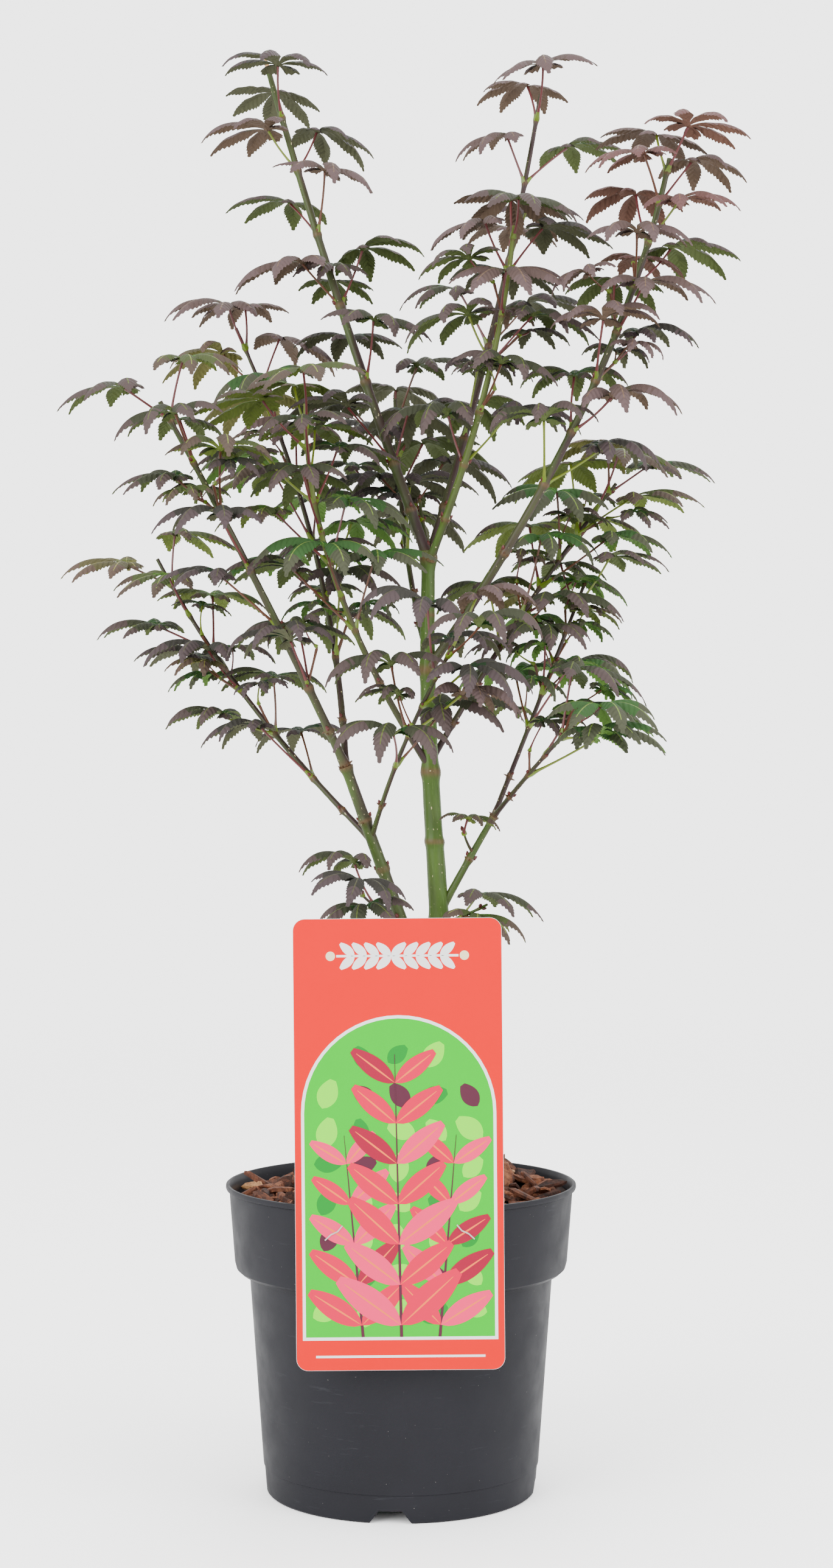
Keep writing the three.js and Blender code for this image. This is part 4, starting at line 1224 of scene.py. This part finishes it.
def bark_chips(name, barks, count, seed, lengths, level):
    """A layer of loose chips that lie every way on the bed."""
    chance = random.Random(seed)
    heap = Heap()
    made = 0
    while made < count:
        length = chance.uniform(*lengths)
        size = (length, length * chance.uniform(*CHIP["broad"]), chance.uniform(*CHIP["thick"]))
        away = math.sqrt(chance.random()) * (MULCH["edge"] - length * 0.42 - 1.2)
        turned = chance.uniform(0, 2 * math.pi)
        x, y = away * math.cos(turned), away * math.sin(turned)
        by_trunk = math.hypot(x - MULCH["trunk_at"], y) < MULCH["trunk_clear"] + length * 0.3
        by_strap = abs(x) < CHIP["strap_half"] + length / 2 and y < CHIP["strap_from"] + length / 2
        if by_trunk or by_strap:
            continue
        turn = Quaternion(UP, chance.uniform(0, 2 * math.pi))
        if chance.random() < CHIP["flat_share"]:
            steep = chance.gauss(0, CHIP["flat_tilt"])
        else:
            steep = chance.uniform(-CHIP["steep_tilt"], CHIP["steep_tilt"])
        tilt = Quaternion((0, 1, 0), steep) @ Quaternion((1, 0, 0), chance.gauss(0, CHIP["roll"]))
        lift = mulch_surface(x, y) + level + abs(math.sin(steep)) * length * 0.26
        corners = [turn @ (tilt @ c) + Vector((x, y, lift)) for c in chip_body(chance, *size)]
        tone = chance.choices(list(CHIP_TINTS), CHIP_WEIGHTS)[0]
        heap.add(corners, tube_faces(3, CHIP["sides"]), tone)
        made += 1
    return seat(heap.piece(name, barks.get, sharp=28), "bark_mulch", "mulch")


def mulch_pieces():
    barks = {tone: grained("bark_" + tone, *look) for tone, look in CHIP_TINTS.items()}
    mulch_bed()
    bark_chips("mulch_chips_low", barks, count=300, seed=17, lengths=(10, 22), level=0.3)
    bark_chips("mulch_chips_high", barks, count=190, seed=23, lengths=(13, 29), level=2.8)


# Label

def label_point(across, up, out):
    """A place on the label: across and up from its middle, out from its printed face, in mm."""
    lean = math.radians(LABEL["lean"])
    middle = (LABEL["top"] + LABEL["bottom"]) / 2
    x = LABEL["centre"] + across * math.cos(lean) - up * math.sin(lean)
    z = middle + up * math.cos(lean) + across * math.sin(lean)
    return Vector((x, LABEL["front"] - out, z))


def label_sheet():
    """The card: a plane with rounded corners and a thickness, its rim softened."""
    deselect()
    bpy.ops.mesh.primitive_plane_add(size=1)
    card = bpy.context.object
    card.name = "label_sheet"
    height = LABEL["top"] - LABEL["bottom"]
    card.scale = (LABEL["width"] * MM, height * MM, 1)
    bpy.ops.object.transform_apply(scale=True)
    bpy.ops.object.mode_set(mode="EDIT")
    bpy.ops.mesh.select_all(action="SELECT")
    bpy.ops.mesh.bevel(offset=LABEL["corner"] * MM, segments=8, affect="VERTICES")
    bpy.ops.object.mode_set(mode="OBJECT")
    card.rotation_euler = (math.pi / 2, -math.radians(LABEL["lean"]), 0)
    card.location = label_point(0, 0, 0) * MM
    bpy.ops.object.transform_apply(location=True, rotation=True)
    use_modifier(card, "SOLIDIFY", thickness=LABEL["thick"] * MM, offset=-1)
    use_modifier(card, "BEVEL", width=0.12 * MM, segments=2, limit_method="ANGLE", angle_limit=0.9)
    finished(card, printed("card_white", CARD))
    return seat(card, "label_print", "label_card")


def add_print(heap, outline, height, tone):
    """A thin printed shape: outline runs anticlockwise as seen from the front."""
    corners = [label_point(x, z, out) for out in (-0.05, height) for x, z in outline]
    heap.add(corners, tube_faces(2, len(outline)), tone)


def box_outline(x0, x1, z0, z1, corner=0.0, steps=6):
    if not corner:
        return [(x0, z0), (x1, z0), (x1, z1), (x0, z1)]
    outline = []
    for cx, cz, first in ((x1, z0, -90), (x1, z1, 0), (x0, z1, 90), (x0, z0, 180)):
        ox = cx - math.copysign(corner, cx - (x0 + x1) / 2)
        oz = cz - math.copysign(corner, cz - (z0 + z1) / 2)
        for i in range(steps + 1):
            turned = math.radians(first + 90 * i / steps)
            outline.append((ox + corner * math.cos(turned), oz + corner * math.sin(turned)))
    return outline


def oval_leaf(x, z, length, width, turn, steps=12):
    """A plain pointed oval that starts at x, z and lies at turn degrees."""
    shares = [i / steps for i in range(steps + 1)]
    upper = [(s * length, width / 2 * math.sin(math.pi * s ** 0.85) ** 0.8) for s in shares]
    lower = [(a, -b) for a, b in upper[::-1]]
    c, s = math.cos(math.radians(turn)), math.sin(math.radians(turn))
    return [(x + a * c - b * s, z + a * s + b * c) for a, b in lower[1:-1] + upper[:-1]]


def arch_outline(half, foot, shoulder, steps=28):
    """A window with upright sides and a round top."""
    turns = [math.pi * i / steps for i in range(steps + 1)]
    arch = [(half * math.cos(turn), shoulder + half * math.sin(turn)) for turn in turns]
    return [(-half, foot), (half, foot)] + arch


def round_outline(x, z, radius):
    turns = [math.radians(degrees) for degrees in range(0, 360, 15)]
    return [(x + radius * math.cos(turn), z + radius * math.sin(turn)) for turn in turns]


def print_sprig(heap, x0, z0, lean, pairs, size, chance, layer):
    """A stem with pairs of plain oval leaves, each with a pale midrib."""
    step = PRINT["sprig_step"]
    slope = math.tan(math.radians(lean))
    x1, z1 = x0 + slope * pairs * step, z0 + pairs * step
    add_print(heap, [(x0 - 0.8, z0), (x0 + 0.8, z0), (x1 + 0.3, z1), (x1, z1)], layer, "burgundy")
    for i in range(pairs):
        z = z0 + 6 + i * step
        x = x0 + slope * (z - z0)
        for way in (1, -1):
            length = size * mix(1, 0.62, i / pairs) * chance.uniform(0.92, 1.06)
            turn = 90 - lean - way * (50 + chance.uniform(-4, 4))
            tone = chance.choice(("rose", "rose", "blush", "crimson"))
            add_print(heap, oval_leaf(x, z, length, length * 0.34, turn), layer + INK, tone)
            add_print(heap, oval_leaf(x, z, length * 0.9, 0.9, turn), layer + 2 * INK, "peach")


def print_garland(heap, z):
    """A level twig in the head of the label with pairs of small ovals, and a berry at each end."""
    add_print(heap, box_outline(-31, 31, z - 0.6, z + 0.6), 2 * INK, "white")
    for i in range(-4, 5):
        onward = 1 if i >= 0 else -1
        for way in (1, -1):
            turn = (0 if i >= 0 else 180) + 42 * way * onward
            add_print(heap, oval_leaf(6.2 * i - 3 * onward, z, 10.5, 4.4, turn), 3 * INK, "white")
    for x in (-34, 34):
        add_print(heap, round_outline(x, z, 2.4), 2 * INK, "cream")


def print_blurs(heap, window, foot, shoulder, chance):
    """Broad plain ovals all over the window, as leaves far behind the sprigs."""
    for row in range(8):
        for column in range(5):
            x = (column - 2) * 18.5 + chance.uniform(-1.5, 1.5)
            z = foot + 13 + row * 18.5 + chance.uniform(-1.5, 1.5)
            if abs(x) < window - 9 and math.hypot(x, max(0, z - shoulder)) < window - 10:
                length = chance.uniform(13, 18)
                turn = chance.uniform(0, 180)
                tone = chance.choice(("lime", "lime", "leafgreen", "burgundy"))
                c, s = math.cos(math.radians(turn)), math.sin(math.radians(turn))
                blur = oval_leaf(x - c * length / 2, z - s * length / 2, length, length * 0.62, turn)
                add_print(heap, blur, 4 * INK, tone)


def label_prints():
    """A generic print: sprigs of plain oval leaves in an arched green window, no lettering."""
    heap = Heap()
    chance = random.Random(12)
    half, top = LABEL["width"] / 2, (LABEL["top"] - LABEL["bottom"]) / 2
    foot, shoulder, window = -top + PRINT["foot"], PRINT["shoulder"], half - PRINT["inset"]
    bleed, border = PRINT["bleed"], PRINT["border"]
    edge, head = half - bleed, top - bleed
    add_print(heap, box_outline(-edge, edge, -head, head, LABEL["corner"] - bleed), INK, "coral")
    add_print(heap, arch_outline(window + border, foot - border, shoulder), 2 * INK, "white")
    add_print(heap, arch_outline(window, foot, shoulder), 3 * INK, "meadow")
    print_blurs(heap, window, foot, shoulder, chance)
    add_print(heap, box_outline(-half + 10, half - 10, -top + 6.5, -top + 7.7), 2 * INK, "white")
    for i, (x, lean, pairs, size) in enumerate(PRINT["sprigs"]):
        print_sprig(heap, x, foot, lean, pairs, size, chance, 0.08 + 0.05 * i)
    print_garland(heap, top - PRINT["garland"])
    prints = {tone: printed("print_" + tone, colour) for tone, colour in PRINTS.items()}
    return seat(heap.piece("label_prints", prints.get, smooth=False), "label_print", "label_card")


def label_staples():
    """Two thin wire staples that hold the card to its hook, slanting inwards."""
    heap = Heap()
    for way in (-1, 1):
        line = [(way * 38, -48.4), (way * 35, -45.6), (way * 31.5, -44), (way * 29, -41)]
        places = [label_point(x, z, 0.35) for x, z in line]
        add_rod(heap, places, [0.4, 0.42, 0.42, 0.4], ["wire"] * 4)
    wire = cloudy("staple_wire", WIRE, 500, detail=2, roughness=0.35, specular=0.6)
    return seat(heap.piece("label_staples", lambda tone: wire), "label_clip")


def dress_hook():
    """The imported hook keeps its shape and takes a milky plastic."""
    finished(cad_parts["label_hook"], cloudy("hook_plastic", HOOK_TINTS, 40, grain=0.08))


# Studio

def seen_white(tree, lit, seen):
    """Two strengths for one white: what lights the plant, and what the camera sees behind it."""
    rays = shader_node(tree, "ShaderNodeLightPath", {})
    sockets = {"Factor": rays.outputs["Is Camera Ray"], "A": lit, "B": seen}
    return shader_node(tree, "ShaderNodeMix", sockets).outputs["Result"]


def melt_away(white):
    """The floor thins out with the distance from the plant, so that no horizon shows."""
    tree = white.tree
    away = shader_node(tree, "ShaderNodeVectorMath", {0: white.place()}, operation="LENGTH")
    near, far = FLOOR["melts"]
    sockets = {"Value": away.outputs["Value"], "From Min": near, "From Max": far}
    reach = shader_node(tree, "ShaderNodeMapRange", sockets, interpolation_type="SMOOTHSTEP")
    clear = shader_node(tree, "ShaderNodeBsdfTransparent", {})
    sockets = {
        "Fac": reach.outputs["Result"], 1: white.shader.outputs["BSDF"], 2: clear.outputs["BSDF"]}
    blend = shader_node(tree, "ShaderNodeMixShader", sockets)
    feed(tree, tree.nodes["Material Output"].inputs["Surface"], blend.outputs["Shader"])


def studio_floor():
    deselect()
    bpy.ops.mesh.primitive_circle_add(
        vertices=96, radius=FLOOR["radius"], fill_type="NGON", location=(0, 0, -FLOOR["below"]))
    floor = bpy.context.object
    floor.name = "studio_floor"
    bpy.ops.object.transform_apply(location=True)
    white = Finish("studio_floor", 0.8, 0.0)
    white.set("Base Color", seen_white(white.tree, FLOOR["lit"], FLOOR["seen"]))
    melt_away(white)
    finished(floor, white.material)


def studio_world():
    world = bpy.data.worlds.new("studio")
    bpy.context.scene.world = world
    world.use_nodes = True
    background = world.node_tree.nodes["Background"]
    background.inputs["Color"].default_value = (1, 1, 1, 1)
    strength = seen_white(world.node_tree, WORLD["lit"], WORLD["seen"])
    feed(world.node_tree, background.inputs["Strength"], strength)


def softboxes():
    for name, (place, size, power) in SOFTBOXES.items():
        light = bpy.data.lights.new(name, "AREA")
        light.size = size
        light.energy = power
        lamp = bpy.data.objects.new(name, light)
        lamp.location = place
        lamp.rotation_euler = (AIM - Vector(place)).to_track_quat("-Z", "Y").to_euler()
        bpy.context.scene.collection.objects.link(lamp)


def photo_camera():
    view = bpy.data.cameras.new("photo_view")
    view.sensor_fit = "VERTICAL"
    view.sensor_height = CAMERA["sensor"]
    view.lens = CAMERA["lens"]
    camera = bpy.data.objects.new("photo_view", view)
    camera.location = CAMERA["place"]
    camera.rotation_euler = (math.radians(CAMERA["tilt"]), 0, 0)
    bpy.context.scene.collection.objects.link(camera)
    bpy.context.scene.camera = camera


studio_floor()
studio_world()
softboxes()
photo_camera()
pot_piece()
mulch_pieces()
label_sheet()
label_prints()
label_staples()
dress_hook()
trunk_piece()
for order, (leader_name, leader_values) in enumerate(LEADERS.items()):
    wood_piece(leader_name, leader_values, random.Random(500 + order), 11.0 + order)
foliage_pieces()
